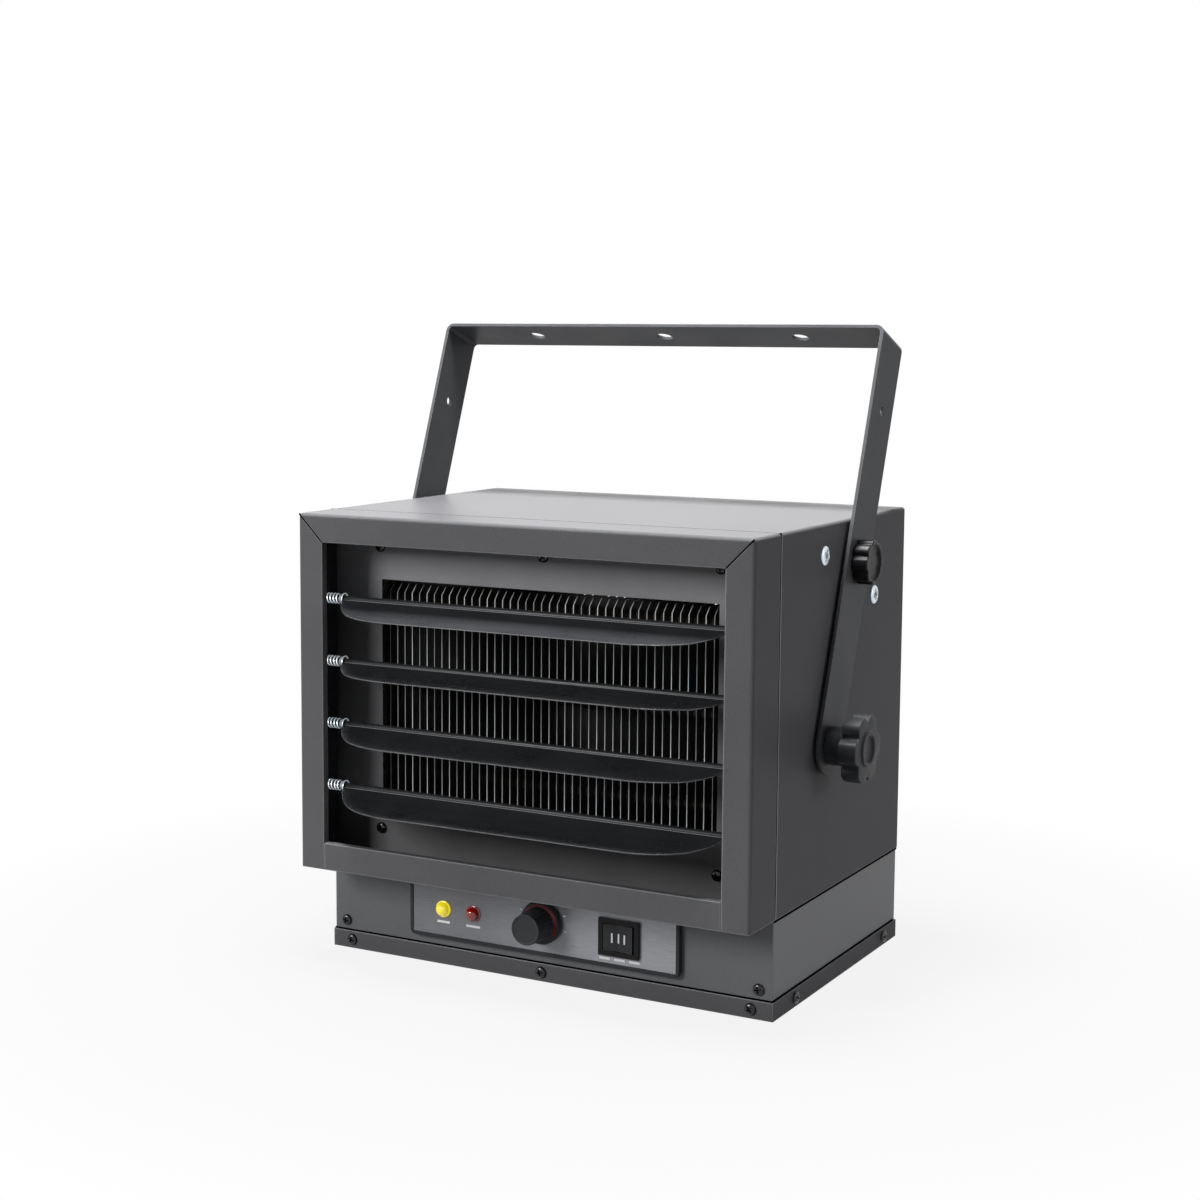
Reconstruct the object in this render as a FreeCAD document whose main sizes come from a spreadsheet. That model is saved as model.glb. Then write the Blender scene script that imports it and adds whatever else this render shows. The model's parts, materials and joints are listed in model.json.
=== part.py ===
import FreeCAD, Part
import math
import os
import re

import Sketcher
from FreeCAD import Placement, Rotation, Vector

# A garage heater that hangs from a ceiling by a U-shaped bracket, or stands on its base tray.
# Frame: millimetres, +X to the right seen from the front, +Y to the back, +Z up,
# with the origin in the middle of the base tray's underside.

SIZES = [
    # Upper casing of folded sheet
    ("case_width", 368.0, "outer width of the casing wrap"),
    ("case_depth", 242.0, "depth of the casing wrap behind the surround"),
    ("case_top", 340.0, "height of the casing's top face"),
    ("case_floor", 72.0, "height of the wrap's lower edge"),
    ("sheet", 1.2, "thickness of the sheet steel"),
    ("bend", 2.5, "outside radius of a fold"),
    ("side_lip", 14.0, "width of the turned-in lips"),
    ("top_lip", 34.0, "height of the wrap's front lip, turned down"),
    ("floor_lip", 34.0, "height of the floor's front lip, turned up"),
    ("fit_gap", 0.3, "gap between panels that fit in each other"),
    ("seam_gap", 0.9, "open seam round the casing's front edge and above the lower box"),
    ("overrun", 2.0, "how far a cut runs past the sheet"),
    # Front surround
    ("surround_depth", 44.0, "depth of the surround in front of the casing"),
    ("rail_face", 21.0, "width of the surround's face"),
    ("rail_return", 6.0, "depth of the lip round the surround's opening"),
    ("bottom_rail_face", 20.3, "height of the bottom rail's face"),
    ("mitre_slot", 0.5, "width of the mitre seam"),
    # Front baffle with the air outlet
    ("outlet_width", 278.0, "width of the air outlet"),
    ("outlet_low", 121.0, "height of the outlet's lower edge"),
    ("outlet_high", 288.7, "height of the outlet's upper edge"),
    ("baffle_flange", 10.0, "depth of the baffle's forward flanges"),
    # Louvers
    ("louver_pitch", 47.45, "distance between louver pivots"),
    ("louver_middle", 203.9, "height midway between the four pivots"),
    ("louver_setback", 20.5, "pivot axis behind the surround's face"),
    ("louver_length", 318.0, "length of a blade"),
    ("louver_chord", 42.0, "pivot axis to the blade's front edge"),
    ("louver_corner", 62.0, "how far along the blade its rounded corner runs"),
    ("blade_sheet", 0.9, "thickness of the blade"),
    ("blade_dip", 1.6, "how far the blade's creases dip below its chord"),
    ("bead_dia", 5.0, "diameter of the rolled bead"),
    ("collar_dia", 9.4, "diameter of the bead's spring collar"),
    ("collar_width", 1.2, "width of that collar"),
    ("rod_dia", 3.0, "diameter of the pivot rod"),
    ("rod_overhang", 2.0, "pivot rod past the rail"),
    ("rail_offset", 11.5, "louver rail inside the surround's outer side"),
    ("rail_depth", 32.0, "depth of the louver rail"),
    ("louver_droop_one", 12.7, "downward tilt of the top louver, degrees"),
    ("louver_droop_two", 6.4, "downward tilt of the second louver, degrees"),
    ("louver_droop_three", 10.3, "downward tilt of the third louver, degrees"),
    ("louver_droop_four", 13.9, "downward tilt of the bottom louver, degrees"),
    ("spring_dia", 7.0, "mean diameter of a louver spring"),
    ("spring_wire", 1.0, "diameter of its wire"),
    # Heating block
    ("fin_pitch", 6.56, "distance between fins"),
    ("fin_sheet", 0.6, "thickness of a fin"),
    ("fin_low", 112.0, "height of the fins' lower edge"),
    ("fin_high", 284.5, "height of the fins' upper edge"),
    ("fin_depth", 28.0, "front to back size of a fin"),
    ("fin_corner", 6.0, "bevel of the fins' corners"),
    ("fin_setback", 8.0, "fins behind the baffle"),
    ("tube_dia", 10.0, "diameter of a heating tube"),
    ("tube_low", 141.0, "height of the lowest tube"),
    ("tube_pitch", 65.5, "distance between tubes"),
    ("tube_gap", 0.1, "gap between a tube and what carries it"),
    ("end_plate_offset", 141.5, "end plates from the middle"),
    ("end_plate_margin", 8.0, "end plate beyond the fins"),
    ("end_plate_foot", 20.0, "width of an end plate's foot"),
    ("tube_overhang", 8.0, "bare tube outside its end plate"),
    ("insulator_dia", 15.0, "diameter of a tube's ceramic end"),
    ("insulator_length", 14.0, "length of that ceramic end"),
    ("terminal_dia", 4.0, "diameter of a tube's terminal stud"),
    ("terminal_length", 7.0, "length of that stud"),
    ("cutout_dia", 17.0, "diameter of the overheat cut-out"),
    ("cutout_height", 9.0, "height of the overheat cut-out"),
    ("cutout_side", 60.0, "overheat cut-out from the middle"),
    # Fan
    ("inlet_margin", 22.0, "panel left above and below the rear air inlet"),
    ("blade_margin", 8.0, "inlet's edge past the blades"),
    ("fan_clearance", 4.0, "gap between the blades and the bulkhead"),
    ("bulkhead_place", 22.0, "bulkhead behind the middle of the case"),
    ("bulkhead_collar", 20.0, "length of the bulkhead's collar"),
    ("hub_dia", 64.0, "diameter of the fan's hub"),
    ("hub_length", 26.0, "length of the fan's hub"),
    ("hub_place", 10.0, "hub's front behind the middle of the case"),
    ("hub_web", 4.0, "thickness of the hub's walls"),
    ("hub_core_dia", 18.0, "diameter of the hub's core"),
    ("blade_root_chord", 50.0, "width of a fan blade at the hub"),
    ("blade_tip_chord", 70.0, "width of a fan blade at its tip"),
    ("blade_root_pitch", 46.0, "pitch of a fan blade at the hub, degrees"),
    ("blade_tip_pitch", 26.0, "pitch of a fan blade at its tip, degrees"),
    ("blade_thickness", 2.0, "thickness of a fan blade"),
    ("blade_sink", 3.0, "fan blade's root inside the hub"),
    ("shaft_dia", 8.0, "diameter of the motor's shaft"),
    ("running_gap", 0.05, "radial gap of a shaft in its bearing"),
    ("motor_dia", 88.0, "diameter of the motor"),
    ("motor_length", 54.0, "length of the motor's can"),
    ("motor_boss_dia", 26.0, "diameter of the motor's front boss"),
    ("motor_boss_length", 5.0, "length of that boss"),
    ("motor_edge", 5.0, "rounding of the motor's can"),
    ("mount_width", 40.0, "width of the motor's strap"),
    ("mount_sheet", 2.0, "thickness of the motor's strap"),
    ("mount_overlap", 15.0, "motor's strap past the inlet"),
    ("guard_wire", 2.6, "thickness of the guard's wires"),
    ("guard_overlap", 6.0, "guard's outer ring past the inlet"),
    ("guard_core_dia", 44.0, "diameter of the guard's inner ring"),
    # Control box and tray
    ("tray_height", 13.4, "height of the tray's upturned edge"),
    ("box_low", 2.4, "height of the control box's lower edge"),
    ("bezel_width", 225.0, "width of the control bezel"),
    ("bezel_place", 0.9, "bezel's middle from the case's middle"),
    ("bezel_low", 20.6, "height of the bezel's lower edge"),
    ("bezel_high", 69.0, "height of the bezel's upper edge"),
    ("bezel_rise", 4.5, "bezel proud of the box"),
    ("bezel_rim", 2.6, "width of the bezel's rim"),
    ("bezel_corner", 4.5, "radius of the bezel's corners"),
    ("plate_sheet", 1.2, "thickness of the control plate"),
    ("plate_inset", 0.5, "control plate behind the bezel's rim"),
    ("window_margin", 12.0, "box front left round the window behind the bezel"),
    ("power_lamp_share", -0.37, "yellow lamp from the bezel's middle, of its width"),
    ("warning_lamp_share", -0.2547, "red lamp from the bezel's middle, of its width"),
    ("dial_share", 0.0084, "thermostat from the bezel's middle, of its width"),
    ("switch_share", 0.2893, "switch from the bezel's middle, of its width"),
    ("lamp_height", 43.5, "height of the lamps"),
    ("lamp_dia", 10.6, "diameter of a lamp's lens"),
    ("lamp_rise", 5.0, "lens proud of the plate"),
    ("lamp_collar_dia", 12.6, "diameter of a lamp's collar"),
    ("lamp_collar", 1.0, "thickness of that collar"),
    ("lamp_barrel_dia", 8.8, "diameter of a lamp's barrel"),
    ("lamp_barrel", 18.0, "length of that barrel"),
    ("control_gap", 0.1, "gap round what passes through the plate"),
    ("dial_height", 46.0, "height of the thermostat"),
    ("bush_dia", 9.8, "diameter of the thermostat's bush"),
    ("bush_rise", 1.6, "thermostat's bush proud of the plate"),
    ("thermostat_width", 36.0, "width of the thermostat's body"),
    ("thermostat_tall", 30.0, "height of the thermostat's body"),
    ("thermostat_deep", 26.0, "depth of the thermostat's body"),
    ("spindle_dia", 6.0, "diameter of the thermostat's spindle"),
    ("spindle_tail", 20.0, "spindle behind the plate"),
    ("skirt_dia", 33.0, "diameter of the knob's skirt"),
    ("skirt_thick", 4.0, "thickness of the knob's skirt"),
    ("grip_dia", 25.0, "diameter of the knob's grip at the skirt"),
    ("grip_face_dia", 22.5, "diameter of the knob's face"),
    ("grip_length", 20.0, "length of the knob's grip"),
    ("grip_edge", 1.2, "rounding of the knob's face"),
    ("flute_width", 3.0, "width of the grooves in the knob's grip"),
    ("knob_gap", 0.4, "gap between a knob and what it turns on"),
    ("switch_height", 43.0, "height of the switch"),
    ("switch_width", 32.4, "width of the switch's frame"),
    ("switch_tall", 27.5, "height of the switch's frame"),
    ("switch_rise", 2.4, "frame proud of the plate"),
    ("switch_mouth", 25.0, "width of the frame's mouth"),
    ("switch_mouth_tall", 20.0, "height of the frame's mouth"),
    ("switch_wall", 2.0, "wall of the switch's body"),
    ("switch_deep", 25.0, "depth of the switch's body"),
    ("switch_well", 9.0, "depth of the well that holds the rocker"),
    ("rocker_gap", 0.4, "gap round the rocker's ends"),
    ("rocker_side_gap", 1.1, "gap at the rocker's rocking edges"),
    ("rocker_rise", 3.2, "rocker's edges proud of the plate"),
    ("rocker_hollow", 1.5, "hollow in the middle of the rocker's face"),
    ("rocker_pivot", 3.5, "rocker's axis behind the plate"),
    ("rocker_heel", 2.6, "rocker behind its axis"),
    ("rocker_pin_dia", 3.0, "diameter of the rocker's pivot pins"),
    ("block_width", 58.0, "width of the terminal block"),
    ("block_deep", 20.0, "depth of the terminal block"),
    ("block_tall", 16.0, "height of the terminal block"),
    ("block_place", 60.0, "terminal block's left end from the middle"),
    ("block_back", 62.0, "terminal block behind the middle"),
    ("block_wall", 2.0, "walls between the terminals"),
    ("block_well", 8.0, "depth of the terminals' wells"),
    ("inlet_bush_place", 120.0, "cable inlet from the middle"),
    ("inlet_bush_height", 42.0, "height of the cable inlet"),
    ("inlet_bore", 16.0, "bore of the cable inlet"),
    ("inlet_body_dia", 22.0, "diameter of the inlet's body"),
    ("inlet_flange_dia", 29.0, "diameter of the inlet's flange"),
    ("inlet_flange", 3.0, "thickness of the inlet's flange"),
    ("inlet_tail", 12.0, "inlet's body inside the box"),
    # Mounting bracket and its knobs
    ("pivot_setback", 83.0, "bracket's pivot behind the casing's front"),
    ("pivot_height", 181.0, "height of the bracket's pivot"),
    ("arm_lean", 21.0, "bracket leaning back, degrees"),
    ("arm_width", 43.0, "width of the strap"),
    ("arm_sheet", 2.5, "thickness of the strap"),
    ("arm_gap", 2.75, "gap between an arm and the casing"),
    ("arm_reach", 312.0, "pivot to the strap's outer face"),
    ("arm_bend", 6.0, "outside radius of the strap's bends"),
    ("strap_hole_dia", 13.0, "diameter of the ceiling holes"),
    ("strap_hole_pitch", 115.0, "distance between ceiling holes"),
    ("arm_hole_dia", 7.0, "diameter of the small hole in each arm"),
    ("arm_hole_reach", 252.0, "pivot to that hole"),
    ("index_radius", 136.5, "pivot to the tilt holes"),
    ("index_step", 23.0, "angle between the tilt holes, degrees"),
    ("pivot_stud_dia", 8.0, "diameter of the pivot studs"),
    ("pivot_hole_gap", 0.3, "gap round the pivot stud in sheet and arm"),
    ("lock_stud_dia", 6.0, "diameter of the lock studs"),
    ("insert_wall", 4.0, "wall of the threaded inserts"),
    ("insert_length", 9.0, "length of the threaded inserts"),
    ("washer_dia", 22.0, "diameter of the pivot washers"),
    ("washer_gap", 0.15, "gap between a washer and its arm"),
    ("stud_tail", 3.0, "pivot stud past its insert"),
    ("stud_sink", 12.0, "stud inside its knob"),
    ("pivot_hub_dia", 28.0, "diameter of the pivot knob's hub"),
    ("pivot_hub_length", 14.5, "length of that hub"),
    ("pivot_head_dia", 50.0, "diameter of the pivot knob's head"),
    ("pivot_head_thick", 13.5, "thickness of that head"),
    ("pivot_ring_dia", 27.0, "diameter of the raised ring on its face"),
    ("pivot_ring_rise", 1.5, "height of that ring"),
    ("pivot_dish_dia", 19.0, "diameter of the hollow inside the ring"),
    ("pivot_scallop_dia", 17.0, "diameter of the cuts between its lobes"),
    ("pivot_scallop_reach", 29.5, "knob's axis to those cuts"),
    ("head_edge", 1.6, "rounding of the knobs' heads"),
    ("lock_head_dia", 33.0, "diameter of the lock knob"),
    ("lock_head_thick", 12.0, "thickness of the lock knob"),
    ("lock_dish_dia", 25.0, "diameter of its hollow face"),
    ("lock_dish_deep", 1.6, "depth of its hollow face"),
    ("lock_scallop_dia", 7.0, "diameter of the cuts round the lock knob"),
    ("lock_scallop_reach", 18.6, "lock knob's axis to those cuts"),
    ("lock_stud_sink", 7.0, "lock stud inside its knob"),
    # Screws
    ("screw_head_dia", 8.4, "diameter of a black pan head"),
    ("screw_head_tall", 2.8, "height of a black pan head"),
    ("screw_dia", 3.8, "diameter of its shank"),
    ("screw_length", 6.0, "length of its shank"),
    ("screw_gap", 0.1, "gap round a shank"),
    ("index_head_dia", 14.0, "diameter of a zinc index screw's head"),
    ("index_head_tall", 2.2, "height of that head"),
    ("index_head_rim", 1.0, "height of the head's straight rim"),
    ("index_screw_length", 11.0, "length of an index screw's shank"),
    ("baffle_screw_place", 140.0, "outer baffle screws from the middle"),
    ("baffle_screw_low", 98.0, "height of the lower baffle screws"),
    ("baffle_screw_high", 313.5, "height of the upper baffle screws"),
    ("box_screw_place", 172.6, "control box screws from the middle"),
    ("box_screw_height", 21.4, "height of the control box screws"),
    ("tray_screw_place", 167.0, "outer tray screws from the middle"),
    ("tray_screw_height", 7.0, "height of the tray screws"),
    ("tray_side_front", -83.0, "front side screws of the tray, along the depth"),
    ("tray_side_back", 93.0, "back side screws of the tray, along the depth"),
    ("rear_screw_inset", 8.0, "rear screws inside the panel's edge"),
]

# Places that follow from the sizes above
DERIVED = [
    ("half_width", "case_width / 2"),
    ("inner_half", "case_width / 2 - sheet"),
    ("front_plane", "-case_depth / 2"),
    ("rear_plane", "case_depth / 2"),
    ("face_plane", "-case_depth / 2 - surround_depth"),
    ("stile_edge", "case_width / 2 - rail_face"),
    ("rail_edge", "case_top - rail_face"),
    ("rail_plane", "case_width / 2 - rail_offset"),
    ("louver_axis", "-case_depth / 2 - surround_depth + louver_setback"),
    ("box_half", "case_width / 2 - sheet"),
    ("panel_half", "case_width / 2 - sheet - fit_gap"),
    ("floor_top", "case_floor + 2 * sheet"),
    ("ceiling", "case_top - sheet - fit_gap"),
    ("fan_height", "(case_top + case_floor) / 2"),
    ("inlet_dia", "case_top - case_floor - 2 * inlet_margin"),
    ("fan_dia", "case_top - case_floor - 2 * inlet_margin - 2 * blade_margin"),
    ("fin_front", "-case_depth / 2 + sheet + fin_setback"),
    ("fin_middle", "-case_depth / 2 + sheet + fin_setback + fin_depth / 2"),
    ("power_lamp_place", "bezel_place + bezel_width * power_lamp_share"),
    ("warning_lamp_place", "bezel_place + bezel_width * warning_lamp_share"),
    ("dial_place", "bezel_place + bezel_width * dial_share"),
    ("switch_place", "bezel_place + bezel_width * switch_share"),
    ("plate_front", "-case_depth / 2 - bezel_rise + plate_inset"),
    ("plate_back", "-case_depth / 2 - bezel_rise + plate_inset + plate_sheet"),
    ("strap_front", "case_depth / 2 - sheet - mount_sheet"),
    ("pivot_place", "-case_depth / 2 + pivot_setback"),
    ("arm_inside", "case_width / 2 + arm_gap"),
    ("arm_outside", "case_width / 2 + arm_gap + arm_sheet"),
]

LOUVER_DROOPS = ["louver_droop_one", "louver_droop_two", "louver_droop_three", "louver_droop_four"]
FIN_COUNT = 43
TUBE_COUNT = 3
FAN_BLADES = 5
GUARD_RINGS = 5
GUARD_SPOKES = 8
PIVOT_LOBES = 6
LOCK_LOBES = 8
KNOB_FLUTES = 14
SPRING_TURNS = 5
SPRING_SIDES = 6
TERMINALS = 4
CREASE_SHARES = (0.31, 0.64)
DOME_SHARES = ((1.0, 0.33), (0.67, 0.8), (0.25, 1.0))
SCREW_DOME_SHARE = 0.45

doc = FreeCAD.newDocument("GarageHeater")
sheet = doc.addObject("Spreadsheet::Sheet", "Sizes")
nodes = {}


def fill_sheet():
    """Write the driving sizes and the places worked out from them, each with its alias."""
    row = 1
    for alias, value, meaning in SIZES:
        sheet.set(f"A{row}", alias)
        sheet.set(f"B{row}", str(value))
        sheet.set(f"C{row}", meaning)
        sheet.setAlias(f"B{row}", alias)
        row += 1
    for alias, formula in DERIVED:
        sheet.set(f"A{row}", alias)
        sheet.set(f"B{row}", "=" + formula)
        sheet.setAlias(f"B{row}", alias)
        row += 1
    doc.recompute()


ALIASES = [entry[0] for entry in SIZES] + [entry[0] for entry in DERIVED]
ALIAS_PATTERN = re.compile(r"\b(" + "|".join(sorted(ALIASES, key=len, reverse=True)) + r")\b")


def cells(text):
    """Turn a formula in plain size names into one that reads the sheet."""
    return ALIAS_PATTERN.sub(r"Sizes.\1", text)


def size(text):
    """The value of a formula in size names."""
    return float(sheet.evalExpression(cells(text)))


def bind(item, **formulas):
    """Tie properties of an object to formulas in size names."""
    for name, text in formulas.items():
        item.setExpression(name.replace("__", "."), cells(text))


def keep(label, item):
    """Register an object as a sub-part; the label names its file."""
    item.Label = label
    nodes[label] = item
    return item


def box(x, y, z):
    """A block between two formulas on each axis."""
    item = doc.addObject("Part::Box", "Block")
    bind(item, Length=f"({x[1]}) - ({x[0]})", Width=f"({y[1]}) - ({y[0]})", Height=f"({z[1]}) - ({z[0]})")
    bind(item, Placement__Base__x=x[0], Placement__Base__y=y[0], Placement__Base__z=z[0])
    return item


TURNS = {
    "+x": Rotation(Vector(0, 1, 0), 90),
    "-x": Rotation(Vector(0, 1, 0), -90),
    "+y": Rotation(Vector(1, 0, 0), -90),
    "-y": Rotation(Vector(1, 0, 0), 90),
    "+z": Rotation(),
    "-z": Rotation(Vector(1, 0, 0), 180),
}


def rod(radius, length, start, axis):
    """A cylinder that starts at a point and runs along an axis such as +x."""
    item = doc.addObject("Part::Cylinder", "Rod")
    bind(item, Radius=radius, Height=length)
    item.Placement = Placement(Vector(), TURNS[axis])
    bind(item, Placement__Base__x=start[0], Placement__Base__y=start[1], Placement__Base__z=start[2])
    return item


def fuse(items):
    """One solid from several that touch or overlap."""
    item = doc.addObject("Part::MultiFuse", "Join")
    item.Shapes = items
    item.Refine = True
    return item


def cut(base, tools):
    """A base with tools taken away."""
    item = doc.addObject("Part::Cut", "Cut")
    item.Base = base
    item.Tool = tools[0] if len(tools) == 1 else fuse(tools)
    item.Refine = True
    return item


def common(first, second):
    """What two solids share."""
    item = doc.addObject("Part::Common", "Common")
    item.Base = first
    item.Tool = second
    item.Refine = True
    return item


def new_body(name):
    return doc.addObject("PartDesign::Body", name)


def origin_item(body, role):
    return [item for item in body.Origin.OriginFeatures if item.Role == role][0]


def draw(body, plane, loops, offset):
    """A sketch on an origin plane, moved along its normal; every vertex is tied to the sheet.

    A loop is a circle (x, y, radius), or a list of corners (x, y) or (x, y, radius), where a radius
    turns the side that starts at that corner into an arc that bulges outwards of the loop.
    """
    sketch = body.newObject("Sketcher::SketchObject", "Outline")
    sketch.AttachmentSupport = [(origin_item(body, plane + "_Plane"), "")]
    sketch.MapMode = "FlatFace"
    bind(sketch, AttachmentOffset__Base__z=offset)
    for loop in loops:
        if isinstance(loop, tuple):
            draw_circle(sketch, *loop)
        else:
            draw_polygon(sketch, loop)
    return sketch


def tie(sketch, constraint_args, text):
    """Add one dimension to a sketch and tie it to a formula."""
    index = sketch.addConstraint(Sketcher.Constraint(*constraint_args, size(text)))
    sketch.setExpression(f"Constraints[{index}]", cells(text))


def draw_circle(sketch, x, y, radius):
    circle = Part.Circle(Vector(size(x), size(y), 0), Vector(0, 0, 1), size(radius))
    index = sketch.addGeometry(circle)
    tie(sketch, ("Radius", index), radius)
    tie(sketch, ("DistanceX", index, 3), x)
    tie(sketch, ("DistanceY", index, 3), y)


def draw_polygon(sketch, corners):
    points = [Vector(size(corner[0]), size(corner[1]), 0) for corner in corners]
    area = sum(a.x * b.y - b.x * a.y for a, b in zip(points, points[1:] + points[:1]))
    turn = 1 if area > 0 else -1
    sides = []
    for number, corner in enumerate(corners):
        start, end = points[number], points[(number + 1) % len(points)]
        if len(corner) == 2:
            side = (sketch.addGeometry(Part.LineSegment(start, end)), 1, 2)
        else:
            side = draw_arc(sketch, start, end, corner[2], turn)
        sides.append(side)
    for number, (index, first, last) in enumerate(sides):
        follower, follower_first, _ = sides[(number + 1) % len(sides)]
        sketch.addConstraint(Sketcher.Constraint("Coincident", index, last, follower, follower_first))
    for (index, first, last), corner in zip(sides, corners):
        tie(sketch, ("DistanceX", index, first), corner[0])
        tie(sketch, ("DistanceY", index, first), corner[1])


def draw_arc(sketch, start, end, radius, turn):
    """An arc from start to end, bulging away from the loop's inside; turn is 1 for a left-hand loop."""
    length = size(radius)
    chord = end - start
    outward = Vector(chord.y, -chord.x, 0).normalize() * turn
    rise = math.sqrt(max(length ** 2 - (chord.Length / 2) ** 2, 0))
    centre = (start + end) / 2 - outward * rise
    middle = centre + outward * length
    index = sketch.addGeometry(Part.Arc(start, middle, end))
    tie(sketch, ("Radius", index), radius)
    geometry = sketch.Geometry[index]
    starts_first = (geometry.StartPoint - start).Length < (geometry.EndPoint - start).Length
    return (index, 1, 2) if starts_first else (index, 2, 1)


def pad(body, plane, loops, low, high):
    """Fill an outline between two places along the plane's axis."""
    sketch = draw(body, plane, loops, f"-({high})" if plane == "XZ" else low)
    feature = body.newObject("PartDesign::Pad", "Pad")
    feature.Profile = sketch
    bind(feature, Length=f"({high}) - ({low})")
    return feature


def pocket(body, plane, loops, low, high):
    """Cut an outline between two places along the plane's axis, and make sure that it cuts."""
    doc.recompute()
    before = body.Shape.Volume
    sketch = draw(body, plane, loops, f"-({low})" if plane == "XZ" else high)
    feature = body.newObject("PartDesign::Pocket", "Pocket")
    feature.Profile = sketch
    bind(feature, Length=f"({high}) - ({low})")
    doc.recompute()
    if body.Shape.Volume >= before:
        raise ValueError(f"a pocket in {body.Name} cuts nothing")
    return feature


def revolve(body, outline):
    """Turn an outline of (radius, height) corners round the body's Z axis."""
    sketch = draw(body, "XZ", [outline], "0")
    feature = body.newObject("PartDesign::Revolution", "Turned")
    feature.Profile = sketch
    feature.ReferenceAxis = (sketch, ["V_Axis"])
    feature.Angle = 360
    return feature


def repeat_round(body, feature, axis, count):
    """Repeat a feature evenly round one of the body's axes."""
    pattern = body.newObject("PartDesign::PolarPattern", "Pattern")
    pattern.Originals = [feature]
    pattern.Axis = (origin_item(body, axis + "_Axis"), [""])
    pattern.Angle = 360
    pattern.Occurrences = count
    body.Tip = pattern
    return pattern


def round_edges(body, radius, chosen):
    """Round the edges that a test picks."""
    doc.recompute()
    names = [f"Edge{number}" for number, edge in enumerate(body.Shape.Edges, 1) if chosen(edge)]
    base = body.Tip
    feature = body.newObject("PartDesign::Fillet", "Rounding")
    feature.Base = (base, names)
    bind(feature, Radius=radius)
    body.Tip = feature
    return feature


def lies_at(edge, **places):
    """True where every point of an edge lies at the given coordinates."""
    bounds = edge.BoundBox
    near = 1e-4
    return all(
        abs(getattr(bounds, axis.upper() + "Min") - place) < near
        and abs(getattr(bounds, axis.upper() + "Max") - place) < near
        for axis, place in places.items()
    )


def group(label, master, places):
    """Copies of one piece at several places, as separate solids of one sub-part."""
    doc.recompute()
    solids = []
    for place in places:
        copy = master.Shape.copy()
        copy.Placement = place
        solids.append(copy)
    item = doc.addObject("Part::Feature", label)
    item.Shape = Part.makeCompound(solids)
    item.Placement = Placement()
    return keep(label, item)


def facing(axis, x, y, z):
    """A place for a turned piece whose axis points along an axis such as -y."""
    return Placement(Vector(size(x), size(y), size(z)), TURNS[axis])


def mirrored(item):
    """The left-hand copy of a right-hand piece."""
    copy = doc.addObject("Part::Mirroring", "Mirror")
    copy.Source = item
    copy.Normal = Vector(1, 0, 0)
    copy.Base = Vector()
    return copy


def rectangle(x, z):
    """Four corners between two formulas on each axis of a sketch."""
    return [(x[0], z[0]), (x[1], z[0]), (x[1], z[1]), (x[0], z[1])]


def signs(text):
    """A formula and its mirror image."""
    return [f"-({text})", text]


def index_places():
    """Height and depth of the three tilt holes beside each arm, the one in use in the middle."""
    angles = ["arm_lean - index_step", "arm_lean", "arm_lean + index_step"]
    return [
        (f"pivot_place + index_radius * sin({angle})", f"pivot_height + index_radius * cos({angle})")
        for angle in angles
    ]


SCREW_HOLE = "screw_dia / 2 + screw_gap"
BAFFLE_SCREWS = [(x, "baffle_screw_low") for x in signs("baffle_screw_place")]
LIP_SCREWS = [(x, "baffle_screw_high") for x in signs("baffle_screw_place") + ["0"]]
TRAY_FRONT_SCREWS = signs("tray_screw_place") + ["0"]
TRAY_SIDE_SCREWS = ["tray_side_front", "tray_side_back"]
REAR_SCREWS = [
    (x, z)
    for x in signs("panel_half - rear_screw_inset")
    for z in ("floor_top + floor_lip", "fan_height", "case_top - top_lip")
]


def casing_wrap():
    """Top and sides in one folded sheet, with lips for the floor, the baffle and the rear panel."""
    body = new_body("Wrap")
    outline = [
        ("-half_width", "case_floor"), ("-half_width", "case_top"),
        ("half_width", "case_top"), ("half_width", "case_floor"),
        ("half_width - side_lip", "case_floor"), ("half_width - side_lip", "case_floor + sheet"),
        ("inner_half", "case_floor + sheet"), ("inner_half", "case_top - sheet"),
        ("-inner_half", "case_top - sheet"), ("-inner_half", "case_floor + sheet"),
        ("-half_width + side_lip", "case_floor + sheet"), ("-half_width + side_lip", "case_floor"),
    ]
    pad(body, "XZ", [outline], "front_plane", "rear_plane")
    top = size("case_top")
    half = size("half_width")
    skin = size("sheet")
    round_edges(body, "bend", lambda edge: lies_at(edge, x=half, z=top) or lies_at(edge, x=-half, z=top))
    round_edges(body, "bend - sheet", lambda edge: (
        lies_at(edge, x=half - skin, z=top - skin) or lies_at(edge, x=skin - half, z=top - skin)))
    front_lip = box(("-inner_half + bend", "inner_half - bend"),
                    ("front_plane + sheet", "front_plane + 2 * sheet"),
                    ("case_top - top_lip", "case_top - sheet"))
    rear_lips = [
        box(x, ("rear_plane - 2 * sheet", "rear_plane - sheet"), ("case_floor + sheet", "case_top - top_lip / 2"))
        for x in (("inner_half - side_lip", "inner_half"), ("-inner_half", "-inner_half + side_lip"))
    ]
    holes = [rod(SCREW_HOLE, "4 * sheet", (x, "front_plane", z), "+y") for x, z in LIP_SCREWS]
    holes += [rod(SCREW_HOLE, "4 * sheet", (x, "rear_plane - 3 * sheet", z), "+y") for x, z in REAR_SCREWS]
    holes += [rod("pivot_stud_dia / 2 + pivot_hole_gap", "case_width + 2 * overrun",
                  ("-half_width - overrun", "pivot_place", "pivot_height"), "+x")]
    holes += [rod("lock_stud_dia / 2 + screw_gap", "case_width + 2 * overrun",
                  ("-half_width - overrun", y, z), "+x") for y, z in index_places()]
    keep("casing_wrap", cut(fuse([body, front_lip] + rear_lips), holes))


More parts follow.
